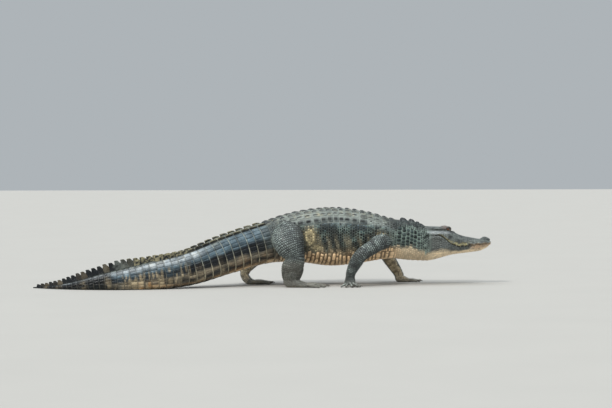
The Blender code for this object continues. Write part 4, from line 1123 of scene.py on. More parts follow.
def coloured_coats(gap=True):
    """Every coat of the skin with the colours between its scales: [(points, colours)]."""
    found = []
    for key, hide in (("body_coat", body_hide), ("head_coat", None)):
        coat = shape[key]
        s = np.repeat(coat.along[:, None], coat.rings.shape[1], 1)
        g = np.repeat((np.arange(coat.rings.shape[1]) / coat.rings.shape[1] * 2)[None], len(s), 0)
        shown = coat.x > 1.165 if key == "head_coat" else coat.x <= 1.168
        colours = head_hide(coat.rings) if hide is None else hide(coat.rings, s, g, gap)
        found.append((coat.rings[shown].reshape(-1, 3), colours[shown].reshape(-1, 3)))
    for name in LIMBS:
        digits = [coat for (foot, _), coat in shape["digits"].items() if foot == name]
        for coat in (shape["limbs"][name], shape["feet"][name], *digits):
            s = np.repeat(coat.along[:, None], coat.rings.shape[1], 1)
            g = np.repeat((np.arange(coat.rings.shape[1]) / coat.rings.shape[1] * 2)[None], len(s), 0)
            if coat is not shape["limbs"][name]:
                g = foot_share(name, coat, s, g)
            found.append((coat.rings.reshape(-1, 3), limb_hide(name)(coat.rings, s, g, gap).reshape(-1, 3)))
    return found


def colour_skin(mesh, points):
    """Gives each point of the skin the colour of the nearest place on its coats, with painted shade deep in its
    openings.
    """
    coats = coloured_coats()
    places = np.concatenate([c[0] for c in coats])
    colours = np.concatenate([c[1] for c in coats])
    tree = KDTree(len(places))
    for i, place in enumerate(places):
        tree.insert(place, i)
    tree.balance()
    hides = np.empty((len(points), 3))
    for i, point in enumerate(points):
        near = tree.find_n(point, 3)
        weights = np.array([1 / (away + 1e-4) for _, _, away in near])
        hides[i] = (colours[[k for _, k, _ in near]] * weights[:, None]).sum(0) / weights.sum()
        deep = near[0][2]
        # Painted shade deep in the head's openings.
        if deep > 0.006 and point[0] + MIDDLE[0] > 1.15:
            hides[i] *= max(0.12, 1 - (deep - 0.006) / 0.004)
    add_marks(mesh, hides, np.tile([0.0, 0.5, 0.0], (len(hides), 1)))


def make_skin():
    """The one skin of the whole animal, with sockets, nostrils and ear slits."""
    global skin_tree
    skin = trunk_object()
    inner = mesh_points(skin.data)
    joins = []
    for name in LIMBS:
        parts = [tube_object("limb", shape["limbs"][name].rings), tube_object("foot", shape["feet"][name].rings)]
        digits = digits_of(name)
        for j in range(len(digits)):
            parts.append(tube_object("digit", shape["digits"][name, j].rings))
        share = 0.60 if name.startswith("hind") else 0.30
        for one, other in zip(digits, digits[1:]):
            low, high = web_points(one, other, share)
            faces = [[0, 1, 2], [3, 5, 4], [0, 3, 4, 1], [1, 4, 5, 2], [2, 5, 3, 0]]
            web = mesh_object("web", np.concatenate([low, high]), faces)
            select_only(web)
            bpy.ops.object.mode_set(mode="EDIT")
            bpy.ops.mesh.select_all(action="SELECT")
            bpy.ops.mesh.normals_make_consistent(inside=False)
            bpy.ops.object.mode_set(mode="OBJECT")
            parts.append(web)
        joins.append(parts)
    known = np.concatenate([inner] + [mesh_points(p.data) for parts in joins for p in parts])
    combine(skin, [p for parts in joins for p in parts], "UNION")
    skin.data.update()
    points = mesh_points(skin.data)
    tree = KDTree(len(known))
    for i, place in enumerate(known):
        tree.insert(place, i)
    tree.balance()
    fresh = np.array([p for p in points if tree.find(p)[2] > 2e-6])
    high = fresh[:, 2] > 0.13
    seams = [(fresh[high], 0.022), (fresh[~high], 0.0065)]
    points = relax(skin.data, seams)
    skin.data.vertices.foreach_set("co", points.astype(np.float32).ravel())
    skin.data.update()
    combine(skin, openings(), "DIFFERENCE")
    points = mesh_points(skin.data)
    points[:, 2] = np.maximum(points[:, 2], FLOOR_CLEAR)
    skin.data.vertices.foreach_set("co", points.astype(np.float32).ravel())
    colour_skin(skin.data, points)
    skin.data.update()
    skin_tree = sorted_tree(skin.data, points)
    return skin


def sorted_tree(mesh, points):
    """A tree of a mesh's faces that doesn't depend on the order of its points and faces, which a Boolean may change
    from run to run."""
    order = np.lexsort(points.T)
    rank = np.empty(len(order), int)
    rank[order] = np.arange(len(order))
    faces = []
    for face in mesh.polygons:
        corners = rank[list(face.vertices)].tolist()
        first = corners.index(min(corners))
        faces.append(corners[first:] + corners[:first])
    return BVHTree.FromPolygons([Vector(p) for p in points[order]], sorted(faces))


def openings():
    """Cutters for the eye sockets, the nostrils and the slits over the ears."""
    cutters = []
    for side in (1, -1):
        x, y, z = EYE
        cutters.append(ball("socket", (x, side * (y + EYE_RADIUS - 0.001), z + 0.0005), (0.0148, 0.0125, 0.0086), 0.06, 32, 20))
        nx, ny, nz = NOSTRIL
        cutters.append(ball("nostril", (nx + 0.001, side * (ny + 0.0005), nz + 0.0035), (0.0080, 0.0042, 0.0052), 0.35))
        ex, ey, ez = EAR
        cutters.append(ball("slit", (ex, side * (ey + 0.002), ez - 0.0055), (0.038, 0.0075, 0.0021), 0.03))
    return cutters


# Materials


class Wire:
    """One output of a material's nodes. Sums on wires add Math nodes to the same material."""

    def __init__(self, graph, socket):
        self.graph, self.socket = graph, socket

    def math(self, operation, first, second):
        return self.graph.add("ShaderNodeMath", {"operation": operation}, {0: first, 1: second})

    def __add__(self, other):
        return self.math("ADD", self, other)

    def __sub__(self, other):
        return self.math("SUBTRACT", self, other)

    def __rsub__(self, other):
        return self.math("SUBTRACT", other, self)

    def __mul__(self, other):
        return self.math("MULTIPLY", self, other)

    def __truediv__(self, other):
        return self.math("DIVIDE", self, other)

    def __pow__(self, other):
        return self.math("POWER", self, other)

    __radd__, __rmul__ = __add__, __mul__

    def step(self, low, high):
        """0 below low, 1 above high, smooth between."""
        values = {"Value": self, "From Min": low, "From Max": high}
        return self.graph.add("ShaderNodeMapRange", {"interpolation_type": "SMOOTHSTEP"}, values)


class Graph:
    """A material being made, with its Principled shader."""

    def __init__(self, name):
        self.material = bpy.data.materials.new(name)
        self.material.use_nodes = True
        self.nodes = self.material.node_tree.nodes
        self.shader = self.nodes["Principled BSDF"]

    def add(self, kind, settings=None, sockets=None, out=0):
        """A node of a kind, with its settings and then the values or wires of its sockets."""
        node = self.nodes.new(kind)
        for key, value in (settings or {}).items():
            setattr(node, key, value)
        self.feed(node, sockets or {})
        return Wire(self, node.outputs[out])

    def feed(self, node, sockets):
        for key, value in sockets.items():
            if isinstance(value, Wire):
                self.material.node_tree.links.new(value.socket, node.inputs[key])
            else:
                node.inputs[key].default_value = value

    def finish(self, **sockets):
        """Sets the shader's sockets, named with _ for each space."""
        self.feed(self.shader, {key.replace("_", " "): value for key, value in sockets.items()})
        return self.material

    def mix(self, share, one, other, kind="MIX"):
        settings = {"data_type": "RGBA", "blend_type": kind, "clamp_factor": True}
        return self.add("ShaderNodeMix", settings, {0: share, 6: one, 7: other}, 2)

    def place(self):
        return self.add("ShaderNodeTexCoord", out="Object")

    def noise(self, place, scale, detail=3.0, rough=0.55):
        return self.add("ShaderNodeTexNoise", None, {"Vector": place, "Scale": scale, "Detail": detail, "Roughness": rough})

    def cells(self, place, scale, feature="F1"):
        return self.add("ShaderNodeTexVoronoi", {"feature": feature}, {"Vector": place, "Scale": scale}, "Distance")

    def bump(self, height, depth, strength=1.0):
        return self.add("ShaderNodeBump", None, {"Strength": strength, "Distance": depth, "Height": height})


def full(colour_):
    return (*colour_, 1.0)


def hide_material(name, rim, rim_share, keel, keel_share, gloss, grain, spots=0.25, tones=0.34, pits=0.0, shine=0.5):
    """Scaly hide. The colour and the scales' rims, tones and keels come from the mesh, and nodes add the grain,
    small spots, worn rims, the keels' stripes (painted shade where dark, worn tips where pale), wet and dry patches and
    creases."""
    g = Graph(name)
    place = g.place()
    hide = g.add("ShaderNodeAttribute", {"attribute_name": "hide"}, out="Color")
    detail = g.add("ShaderNodeAttribute", {"attribute_name": "detail"}, out="Vector")
    parts = g.add("ShaderNodeSeparateXYZ", None, {0: detail})
    edge = parts
    shade, crest = (Wire(g, parts.socket.node.outputs[k]) for k in (1, 2))
    fine = g.noise(place, 420, 4)
    spot = g.noise(place, 95, 3)
    broad = g.noise(place, 21, 2)
    speckle = g.cells(place, 330)
    value = 0.95 + (shade - 0.5) * tones + (fine - 0.5) * 0.34 + (spot - 0.5) * (2 * spots) + (broad - 0.5) * 0.5
    lit = g.add("ShaderNodeVectorMath", {"operation": "SCALE"}, {0: hide, "Scale": value})
    wear_and_highlight = edge.step(0.35, 1.0) * (0.35 + spot * 1.1) * rim_share
    lit = g.mix(wear_and_highlight, lit, full(rim))
    # The keel stripe: painted shade where the keel colour is dark, worn pale tips where it is pale.
    lit = g.mix(crest * (0.30 + shade * 0.5 + spot * 0.7) * keel_share, lit, full(keel))
    lit = g.mix(speckle.step(0.26, 0.12) * 0.16, lit, full(tuple(c * 0.35 for c in rim)))
    rough = gloss + (spot - 0.5) * 0.22 + (fine - 0.5) * 0.12 + broad.step(0.45, 0.70) * 0.10
    crease = g.cells(place, 260, "DISTANCE_TO_EDGE")
    relief = fine * 0.5 + crease.step(0.0, 0.12) * grain + spot * 0.6
    if pits:
        pit = g.cells(place, 150)
        relief = relief + pit.step(0.16, 0.42) * pits
        lit = g.mix(pit.step(0.30, 0.62) * 0.25, lit, full(rim))
    bump = g.bump(relief, 0.0007, 0.75)
    return g.finish(Base_Color=lit, Roughness=rough, Normal=bump, Specular_IOR_Level=shine, Coat_Weight=0.10, Coat_Roughness=0.22)


def eye_material():
    """A wet red-brown iris with fine spokes, a dark rim and a narrow upright pupil."""
    g = Graph("wet eye")
    place = g.place()
    parts = g.add("ShaderNodeSeparateXYZ", None, {0: place})
    up = Wire(g, parts.socket.node.outputs[2])
    centre = placed(*EYE)
    across, up = parts - float(centre[0]) - 0.001, up - float(centre[2])
    away = (across * across + up * up) ** 0.5
    spokes = g.noise(g.add("ShaderNodeVectorMath", {"operation": "MULTIPLY"}, {0: place, 1: (1, 0.25, 1)}), 900, 4)
    iris = g.mix(spokes.step(0.30, 0.72), full(tone("iris_dark")), full(tone("iris_gold")))
    iris = g.mix(away.step(0.0072, 0.0100), iris, full(tone("iris_dark") * 0.30))
    slit = (across * across) ** 0.5 + up * up * 28.0
    lit = g.mix(slit.step(0.0016, 0.0010), iris, (0.002, 0.002, 0.002, 1))
    return g.finish(Base_Color=lit, Roughness=0.08 + spokes * 0.04, Coat_Weight=1.0, Coat_Roughness=0.03)


def horn_material(name, dark, pale, along_x=False):
    """Dark horn with growth lines, paler where it is worn."""
    g = Graph(name)
    place = g.place()
    lines = g.add("ShaderNodeTexWave", {"bands_direction": "X"}, {"Vector": place, "Scale": 160, "Distortion": 3.0, "Detail": 2.0})
    patches = g.noise(place, 120, 3)
    lit = g.mix(patches.step(0.35, 0.75) * 0.8, full(dark), full(pale))
    lit = g.mix(lines * 0.25, lit, full(tuple(c * 0.5 for c in dark)))
    return g.finish(Base_Color=lit, Roughness=0.34 + patches * 0.2, Normal=g.bump(lines * 0.5 + patches, 0.0003, 0.6))


def floor_material():
    g = Graph("pale floor")
    tint = g.noise(g.place(), 1.6, 2)
    lit = g.mix(tint * 0.5, (0.37, 0.36, 0.34, 1), (0.42, 0.41, 0.385, 1))
    return g.finish(Base_Color=lit, Roughness=0.82 + tint * 0.08)


materials = {}


def material(name):
    """The materials, made when first used."""
    if name not in materials:
        s = looks()
        grey, pale, black = tuple(s.rim_grey), tuple(s.crest_yellow), tuple(s.crest_black)
        made = {
            "skin": lambda: hide_material("creased skin", grey, 0.0, pale, 0.0, 0.56, 0.9, 0.30),
            # The back's keels carry black stripes of painted shade.
            "back": lambda: hide_material("keeled scutes", black, 0.20, black, 1.0, 0.46, 0.5, 0.60, 0.80, shine=0.35),
            "flank": lambda: hide_material("flank scales", grey, 0.05, pale, 0.0, 0.34, 0.5, 0.40, 1.30, shine=0.18),
            "belly": lambda: hide_material("belly plates", tuple(s.belly_tan), 0.35, pale, 0.0, 0.44, 0.3, 0.22, 0.50),
            "tail": lambda: hide_material("tail whorls", black, 0.35, pale, 0.5, 0.25, 0.4, 0.50, 0.95, shine=0.20),
            "limb": lambda: hide_material("limb scales", grey, 0.10, pale, 0.0, 0.28, 0.4, 0.26, 0.60),
            "head": lambda: hide_material("bony head hide", grey, 0.22, pale, 0.0, 0.36, 0.5, 0.50, 0.70, 1.0),
            "eye": eye_material,
            "claw": lambda: horn_material("claw horn", s.claw_dark, s.claw_pale),
            "tooth": lambda: horn_material("old ivory", s.tooth_ivory, tuple(c * 0.6 for c in s.tooth_ivory)),
            "floor": floor_material,
        }
        materials[name] = made[name]()
    return materials[name]


# The scales, group by group


def keeled(base, keel, width=0.20, peak=-0.42):
    """A plate with a ridge along its middle that rises towards the rear."""
    base, keel = np.reshape(base, (-1, 1)), np.reshape(keel, (-1, 1))

    def height(a, b):
        rise = np.where(a > peak, ramp(1.05, peak, a), 0.30 + 0.70 * ramp(-1.05, peak, a))
        return base * (1 - 0.25 * a * a) * (1 - 0.45 * b * b) + keel * rise * np.exp(-((np.abs(b) / width) ** 1.25))

    return height


def keel_mark(share=1.0, wide=0.52, low=0.0):
    """The stripe on the keel, from its middle to its rear: painted shade on the dark keels of the back and nape, and
    worn pale tips on the tail's keels.
    """

    def mark(a, b):
        return share * ramp(wide, wide - 0.30, np.abs(b - low)) * ramp(0.60, 0.20, a) * ramp(-1.0, -0.85, a)

    return mark


# The columns of the back, from the midline out: height of the keel, and share and width of the dark stripe of painted
# shade on it.
COLUMNS = ((0.80, 1.00, 0.62), (0.85, 1.00, 0.66), (0.75, 0.80, 0.50), (1.15, 1.00, 0.68))


def column_width(row, rows):
    """The width of the columns of the back at a row."""
    return 0.040 + 0.011 * math.sin(math.pi * row / rows)


def domed(high, tilt=0.0, round_=0.45):
    """A low cushion, thicker towards its rear where tilt is above 0."""
    high = np.reshape(high, (-1, 1))

    def height(a, b):
        return high * (1 - round_ * (a * a + b * b) / 2) * (1 - tilt * a)

    return height


def columns_at(row, rows):
    """How many columns of scutes lie on each side of the midline at a row."""
    return 2 + (0.10 < row / rows < 0.90) + (0.18 < row / rows < 0.84)


def make_back_scutes():
    coat, joined = shape["body_coat"], Joined("back_scutes")
    marks = even_rows(SHOULDER, VENT, BACK_ROW, BACK_ROW)
    rows = len(marks) - 2
    for i, (high, share, wide) in enumerate(COLUMNS):
        placed_ = []
        for row in range(rows + 1):
            if i >= columns_at(row, rows):
                continue
            s0, s1 = along_at(marks[row]), along_at(marks[row + 1])
            width = column_width(row, rows)
            for side in (1, -1):
                jog = random_draws.uniform(-0.0030, 0.0030)
                keel = looks().scute_keel * high * random_draws.uniform(0.70, 1.05)
                half = (width / 2 - 0.0012) * random_draws.uniform(0.88, 1.0)
                placed_.append(((s0 + s1) / 2 + jog, side * (i + 0.5) * width, abs(s1 - s0) / 2 * 0.98, half, keel))
        s, m, long_, half, keel = np.array(placed_).T
        # The keels' dark stripes are painted shade.
        grow(joined, coat, s, m / coat.half_girth(s), long_, half, keeled(0.0042, keel, 0.17), body_hide, (LONG, WIDE), 0.34, lean=0.25, ridge=keel_mark(share, wide), even=False)
    return joined.piece(material("back"))


def scute_edge(x):
    """How far the back scutes reach round from the midline, in metres, at a forward position."""
    rows = (SHOULDER - VENT) / BACK_ROW - 1
    row = np.clip((SHOULDER - x) / BACK_ROW - 0.5, 0, rows)
    return column_width(row, rows) * columns_at(row, rows)


NAPE_SCUTES = (
    (0.962, 0.029, 0.058, 0.052, 0.026),
    (1.022, 0.028, 0.054, 0.050, 0.025),
    (1.068, 0.024, 0.042, 0.038, 0.018),
    (0.986, 0.080, 0.040, 0.034, 0.014),
    (1.040, 0.076, 0.036, 0.030, 0.012),
    (0.926, 0.062, 0.034, 0.030, 0.011),
    (1.094, 0.017, 0.030, 0.028, 0.010),
    (1.092, 0.050, 0.030, 0.028, 0.009),
)


def near_nape(x, m):
    """Whether a place on the neck is under one of the nape's large scutes."""
    return any(abs(x - nx) < row * 0.52 and abs(abs(m) - girth) < width * 0.52 for nx, girth, row, width, _ in NAPE_SCUTES)


def make_nape_scutes():
    coat, joined = shape["body_coat"], Joined("nape_scutes")
    rows = [(along_at(x), side * girth, row / 2, width / 2, keel) for x, girth, row, width, keel in NAPE_SCUTES for side in (1, -1)]
    s, m, long_, wide, keel = np.array(rows).T
    dark = lambda points, s, g: blend(body_hide(points, s, g), tone("flank_black") * 2, 0.65)
    grow(joined, coat, s, m / coat.half_girth(s), long_, wide, keeled(0.0055, keel * 0.92 - 0.004, 0.26, -0.30), dark, (LONG, WIDE), 0.45, lean=0.28, ridge=keel_mark())
    # Small round knobs between them, up to the back of the skull and down to the shoulder.
    edges = along_at(even_rows(0.899, 1.118, 0.0165, 0.0125))
    knobs = bricks(edges, even_widths(0.015), constant(0.0), constant(0.112), 0.30)
    x = forward_at(knobs[:, 0])
    free = [not near_nape(*pair) for pair in zip(x, knobs[:, 1])]
    s, m, long_, wide = knobs[free].T
    grow(joined, coat, s, m / coat.half_girth(s), long_ * 0.95, wide * 0.93, domed(0.0030 + 0.0018 * random_draws.random(len(s)), 0.3), body_hide, (MEDIUM, MEDIUM), 0.55, 0.0022)
    return joined.piece(material("back"))


def constant(value):
    return lambda s: value


def even_widths(width):
    """Widths of a row's scales, all about the same."""
    return lambda s, start, end: np.ones(max(1, round((end - start) / width)))


def graded_widths(first, last):
    """Widths of a row's scales, from the first at the row's start to the last at its end."""

    def widths(s, start, end):
        count = max(2, round((end - start) / ((first + last) / 2)))
        return np.linspace(first, last, count)

    return widths


def make_flank_scales():
    """Oval scales in upright rows down the sides, larger near the scutes."""
    coat = shape["body_coat"]
    marks = even_rows(SHOULDER, VENT, BACK_ROW, BACK_ROW)
    edges = []
    for a, b in zip(marks, marks[1:]):
        edges += [a + (b - a) * share for share in (0.05, 0.36, 0.66, 0.97)]
    edges = along_at(np.array(edges))
    belly = lambda s: 0.672 * coat.half_girth(s)
    scales = bricks(edges, graded_widths(0.020, 0.0130), lambda s: scute_edge(forward_at(s)) + 0.002, belly, 0.16)
    s, m, long_, wide = scales[np.abs(scales[:, 2]) > 0.004].T
    long_, wide = np.abs(long_), wide
    r = np.abs(m) / coat.half_girth(s)
    high = np.interp(r, (0.25, 0.45, 0.75), (0.0034, 0.0026, 0.0018)) * random_draws.uniform(0.8, 1.15, len(s))
    joined = Joined("flank_scales")
    grow(joined, coat, s, m / coat.half_girth(s), long_ * 0.86, wide * 0.86, domed(high, 0.15), body_hide, (MEDIUM, MEDIUM), 0.50, 0.0022)
    return joined.piece(material("flank"))


def make_neck_scales():
    """Raised squarish scales on the sides of the neck, smaller towards the jaw and the throat."""
    coat, joined = shape["body_coat"], Joined("neck_scales")
    edges = along_at(even_rows(0.903, 1.068, 0.032, 0.026))
    throat = lambda s: coat.half_girth(s) * 0.60
    scales = bricks(edges, graded_widths(0.032, 0.016), constant(0.114), throat, 0.14, 0.28)
    small = bricks(along_at(even_rows(1.068, 1.130, 0.0150, 0.0125)), even_widths(0.0165), constant(0.114), throat, 0.16)
    s, m, long_, wide = np.concatenate([scales, small]).T
    high = np.interp(forward_at(s), (0.90, 1.10), (0.0075, 0.0045)) * random_draws.uniform(0.8, 1.1, len(s))
    dark_squares = lambda points, s, g: blend(body_hide(points, s, g), tone("flank_black") * 2.5, 0.72 * ramp(0.30, 0.55, mottle(points, 0.045, 18) + 0.05) * ramp(0.62, 0.48, np.abs((g + 1) % 2 - 1)) * ramp(1.12, 1.04, forward_at(s)))
    grow(joined, coat, s, m / coat.half_girth(s), np.abs(long_) * 0.91, wide * 0.90, domed(high, 0.25, 0.75), dark_squares, (MEDIUM, MEDIUM), 0.40, 0.0028)
    edges = along_at(even_rows(0.903, 1.170, 0.0145, 0.0115))
    scales = bricks(edges, even_widths(0.0145), throat, lambda s: coat.half_girth(s), 0.16)
    s, m, long_, wide = scales.T
    under = Joined("throat_scales")
    grow(under, coat, s, m / coat.half_girth(s), np.abs(long_) * 0.92, wide * 0.92, domed(0.0010), body_hide, (SMALL, SMALL), 0.55, 0.0014)
    return [joined.piece(material("flank")), under.piece(material("belly"))]


def make_belly_plates():
    """Upright pleats of scales where the flank meets the belly, and rows of flat plates under the trunk."""
    coat, joined = shape["body_coat"], Joined("belly_plates")
    marks = even_rows(SHOULDER, VENT, 0.030, 0.030)
    marks[1:-1] += random_draws.uniform(-0.0065, 0.0065, len(marks) - 2)
    edges = along_at(marks)
    top = lambda s: (0.675 + 0.020 * math.sin(s * 97) + 0.012 * math.sin(s * 231)) * coat.half_girth(s)
    pleats = bricks(edges, even_widths(0.058), top, lambda s: 0.885 * coat.half_girth(s), 0.16, 0.35)
    s, m, long_, wide = pleats.T
    high = np.interp(np.abs(m) / coat.half_girth(s), (0.66, 0.72, 0.80, 0.90), (0.0032, 0.0052, 0.0062, 0.0030))
    grow(joined, coat, s, m / coat.half_girth(s), np.abs(long_) * random_draws.uniform(0.66, 0.84, len(s)), wide * 1.02, domed(high * 1.15, 0.10, 1.3), body_hide, (LONG, MEDIUM), 0.35, 0.0040)
    plates = bricks(edges, even_widths(0.027), lambda s: 0.885 * coat.half_girth(s), lambda s: coat.half_girth(s), 0.06)
    s, m, long_, wide = plates.T
    grow(joined, coat, s, m / coat.half_girth(s), np.abs(long_) * 0.965, wide * 0.955, domed(0.0024, 0.25, 0.4), body_hide, (MEDIUM, MEDIUM), 0.22, 0.0020)
    return joined.piece(material("belly"))


def tail_marks():
    return even_rows(VENT, TAIL_TIP, WHORL_ROOT, WHORL_TIP)


def crest_side(share):
    """How far from the midline the paired crest of the tail stands, in metres round."""
    return 0.056 * (1 - share / 0.50) + 0.010 if share < 0.50 else 0.0


def make_tail_plates():
    """The tail's whorls: tall plates down each side and square ones below, with a pale seam between whorls."""
    coat, joined = shape["body_coat"], Joined("tail_plates")
    marks, placed_ = tail_marks(), []
    for a, b in zip(marks, marks[1:]):
        x = (a + b) / 2
        share = (VENT - x) / (VENT - TAIL_TIP)
        s0, s1 = sorted((float(along_at(a)), float(along_at(b))))
        half = float(coat.half_girth((s0 + s1) / 2))
        start = crest_side(share) + (0.012 if share < 0.5 else 0.0035)
        if half - start < 0.006:
            continue
        widths = graded_widths(0.031 - 0.010 * share, 0.026 - 0.010 * share)(0, start, half)
        cuts = start + np.concatenate([[0], np.cumsum(widths)]) * (half - start) / widths.sum()
        for m0, m1 in zip(cuts, cuts[1:]):
            for side in (1, -1):
                tilt = random_draws.uniform(0.92, 1.0)
                gap = 0.968 - 0.035 * float(ramp(0.45, 0.60, (m0 + m1) / 2 / half))
                placed_.append(((s0 + s1) / 2, side * (m0 + m1) / 2, (s1 - s0) / 2 * gap, (m1 - m0) / 2 * 1.16 * tilt, share))
    s, m, long_, wide, share = np.array(placed_).T
    high = np.interp(share, (0, 0.5, 0.7, 1), (0.0034, 0.0028, 0.0015, 0.0008)) * random_draws.uniform(0.85, 1.1, len(s))
    grow(joined, coat, s, m / coat.half_girth(s), long_, wide, domed(high, 0.30, 0.35), body_hide, (LONG, MEDIUM), 0.12, 0.0022, even=False)
    # Keeled pairs between the two crests, and small scales outside them.
    placed_ = []
    for a, b in zip(marks, marks[1:]):
        x = (a + b) / 2
        share = (VENT - x) / (VENT - TAIL_TIP)
        side_at = crest_side(share)
        if share < 0.46:
            s0, s1 = sorted((float(along_at(a)), float(along_at(b))))
            wide = (side_at - 0.007) / (2 if share < 0.24 else 1)
            for m in ((wide * 0.5, wide * 1.5) if share < 0.24 else (wide * 0.5,)):
                for side in (1, -1):
                    placed_.append(((s0 + s1) / 2, side * m, (s1 - s0) / 2 * 0.96, wide / 2 * 0.95, 0.0035 * max(0, 1 - share / 0.40)))
    s, m, long_, wide, keel = np.array(placed_).T
    grow(joined, coat, s, m / coat.half_girth(s), long_, wide, keeled(0.0030, keel), body_hide, (LONG, WIDE), 0.30, lean=0.2, ridge=keel_mark(0.3))
    return joined.piece(material("tail"))


def crest_height(share):
    """How high the tail's crest stands, from the root of the tail to its tip."""
    return float(np.interp(share, (0, 0.35, 0.50, 0.62, 0.72, 0.80, 1.0), (0.018, 0.022, 0.045, 0.065, 0.058, 0.051, 0.013)))


def add_fin(joined, coat, s, m, length, height, thick):
    """One upright scute of the crest: a leaf that leans back to a blunt point, thick at its root."""
    levels, sides = 11, 14
    t = np.linspace(0, 1, levels)[:, None]
    angle = np.linspace(0, 2 * math.pi, sides, endpoint=False)[None]
    web = 1.25 if m == 0 else 0.98
    half = length / 2 * np.interp(t, (0, 0.25, 0.50, 0.62, 0.85, 0.96, 1), (web, web * 0.97, 0.96 if m == 0 else 0.90, 0.74, 0.60, 0.46, 0.16))
    shift = -length / 2 * np.interp(t, (0, 0.35, 0.62, 1), (0.0, 0.05, 0.26, 0.60))
    across = thick / 2 * np.interp(t, (0, 0.12, 0.5, 0.9, 1), (2.3, 1.25, 0.80, 0.42, 0.12))
    c, q = rounded(angle, 2.6)
    spot, normal = coat.at(np.array([s]), np.array([m / coat.half_girth(s)]))
    ahead = coat.at(np.array([s + 0.01]), np.array([m / coat.half_girth(s)]))[0] - coat.at(np.array([s - 0.01]), np.array([m / coat.half_girth(s)]))[0]
    forward = unit(ahead)[0]
    up = normal[0] if abs(m) < 1e-6 else unit(normal[0] + np.array([0, 0, 1.0]))
    left = unit(np.cross(up, forward))
    up = np.cross(forward, left)
    high = -0.004 + (height + 0.004) * np.sin(t * math.pi / 2 * 0.97)
    wobble = 0.0010 * np.sin(t * 9 + s * 70)
    points = spot[0] + forward * (shift + half * c)[..., None] + left * (across * q + wobble)[..., None] + up * (high + 0 * c)[..., None]
    x = float(forward_at(s))
    base = body_hide(points, s + 0 * points[..., 0], 0.08 + 0 * points[..., 0])
    dark = blend(base, tone("crest_black"), 0.86 + 0.10 * float(ramp(-0.80, -0.95, x)))
    greyed = float(ramp(-1.06, -1.03, x) * ramp(-0.86, -0.92, x))
    dark = blend(dark, tone("slate_pale") * 0.8, 0.75 * greyed * ramp(0.25, 0.60, mottle(points, 0.020, 17)))
    flecked = float(ramp(-0.90, -0.84, x) * ramp(-0.40, -0.58, x)) * ramp(0.42, 0.60, mottle(points, 0.009, 18))
    dark = blend(dark, tone("crest_yellow"), 0.75 * flecked)
    low = 0.25 * float(ramp(-0.50, -0.30, x))
    tips = ramp(0.78 - low, 0.90 - low, t + 0.14 * np.abs(c)) * float(ramp(-0.98, -0.86, x)) * (0.45 + 0.55 * mottle(points, 0.012, 12))
    hides = blend(dark, tone("crest_yellow"), 0.60 * tips)
    banded = float(np.clip(sum(bell(x, at, 0.020) for at in TAIL_BANDS), 0, 1)) * float(ramp(-0.80, -1.00, x))
    hides = blend(hides, tone("band_cream") * 0.6, 0.35 * banded + 0 * t * c)
    # The root sits in the skin, so its colour fades into the tail's.
    hides = blend(hides, base, ramp(0.08, 0.02, t + 0 * c))
    index = np.arange(levels * sides).reshape(levels, sides)
    following = np.roll(index, -1, 1)
    quads = np.stack([index[:-1], following[:-1], following[1:], index[1:]], -1).reshape(-1, 4)
    details = np.stack([0 * c + 0.15 * t, 0 * c + 0.3 + 0 * t + 0.4 * random_draws.random(), 0.0 * c + 0 * t], -1)
    spread = np.stack([np.cos(angle) * 0.0015 * (1 - 0.6 * t), np.sin(angle) * 0.0015 * (1 - 0.6 * t)], -1)
    maps = coat.unwrapped(s, m / coat.half_girth(s)) + spread
    start = joined.count
    flip = np.dot(np.cross(forward, left), up) < 0
    joined.faces.extend((quads[:, ::-1] if flip else quads).__add__(start).tolist())
    for cap in (index[0][::-1], index[-1]):
        joined.faces.append([int(k) + start for k in (cap[::-1] if flip else cap)])
    joined.count += levels * sides
    for store, values in ((joined.points, points), (joined.maps, maps), (joined.hides, hides), (joined.details, details)):
        store.append(values.reshape(levels * sides, -1))


def make_tail_crest():
    """The double crest that runs together half way, and the tall single crest behind it."""
    coat, joined = shape["body_coat"], Joined("tail_crest")
    marks = tail_marks()
    for a, b in zip(marks, marks[1:]):
        x = (a + b) / 2
        s0, s1 = sorted((float(along_at(a)), float(along_at(b))))
        share = (VENT - x) / (VENT - TAIL_TIP)
        height = crest_height(share) * random_draws.uniform(0.93, 1.0)
        if share < 0.50:
            for side in (1, -1):
                add_fin(joined, coat, (s0 + s1) / 2, side * crest_side(share), (s1 - s0) * 0.96, height, 0.0085)
        elif share < 0.985:
            add_fin(joined, coat, (s0 + s1) / 2, 0.0, (s1 - s0) * 0.99, height, 0.0085 * (1.3 - share))
    return joined.piece(material("tail"))


def make_limb_scales():
    """Rounded polygons over the limbs, larger outside, and small ones inside."""
    pieces = []
    for name in LIMBS:
        coat, joined = shape["limbs"][name], Joined(f"{name}_scales")
        hind = name.startswith("hind")
        size = looks().limb_scale * (1.0 if hind else 1.1)
        length = coat.along[-1]
        edges = even_rows(0.006, length - 0.004, size * 1.02, size * 0.78)
        outer = lambda s: 0.56 * coat.half_girth(s)
        scales = bricks(edges, even_widths(size), constant(0.0), outer, 0.24)
        s, m, long_, wide = scales.T
        high = size * random_draws.uniform(0.17, 0.26, len(s))
        hide = limb_hide(name)
        grow(joined, coat, s, m / coat.half_girth(s), long_ * 0.88, wide * 0.88, domed(high, 0.1, 0.8), hide, (MEDIUM, MEDIUM), 0.62, 0.0026)
        edges = even_rows(0.006, length - 0.004, size * 0.80, size * 0.66)
        scales = bricks(edges, even_widths(size * 0.76), outer, lambda s: coat.half_girth(s), 0.24)
        s, m, long_, wide = scales.T
        grow(joined, coat, s, m / coat.half_girth(s), long_ * 0.92, wide * 0.92, domed(size * 0.11, 0, 0.5), hide, (SMALL, SMALL), 0.6, 0.0018)
        pieces.append(joined.piece(material("limb")))
    return pieces


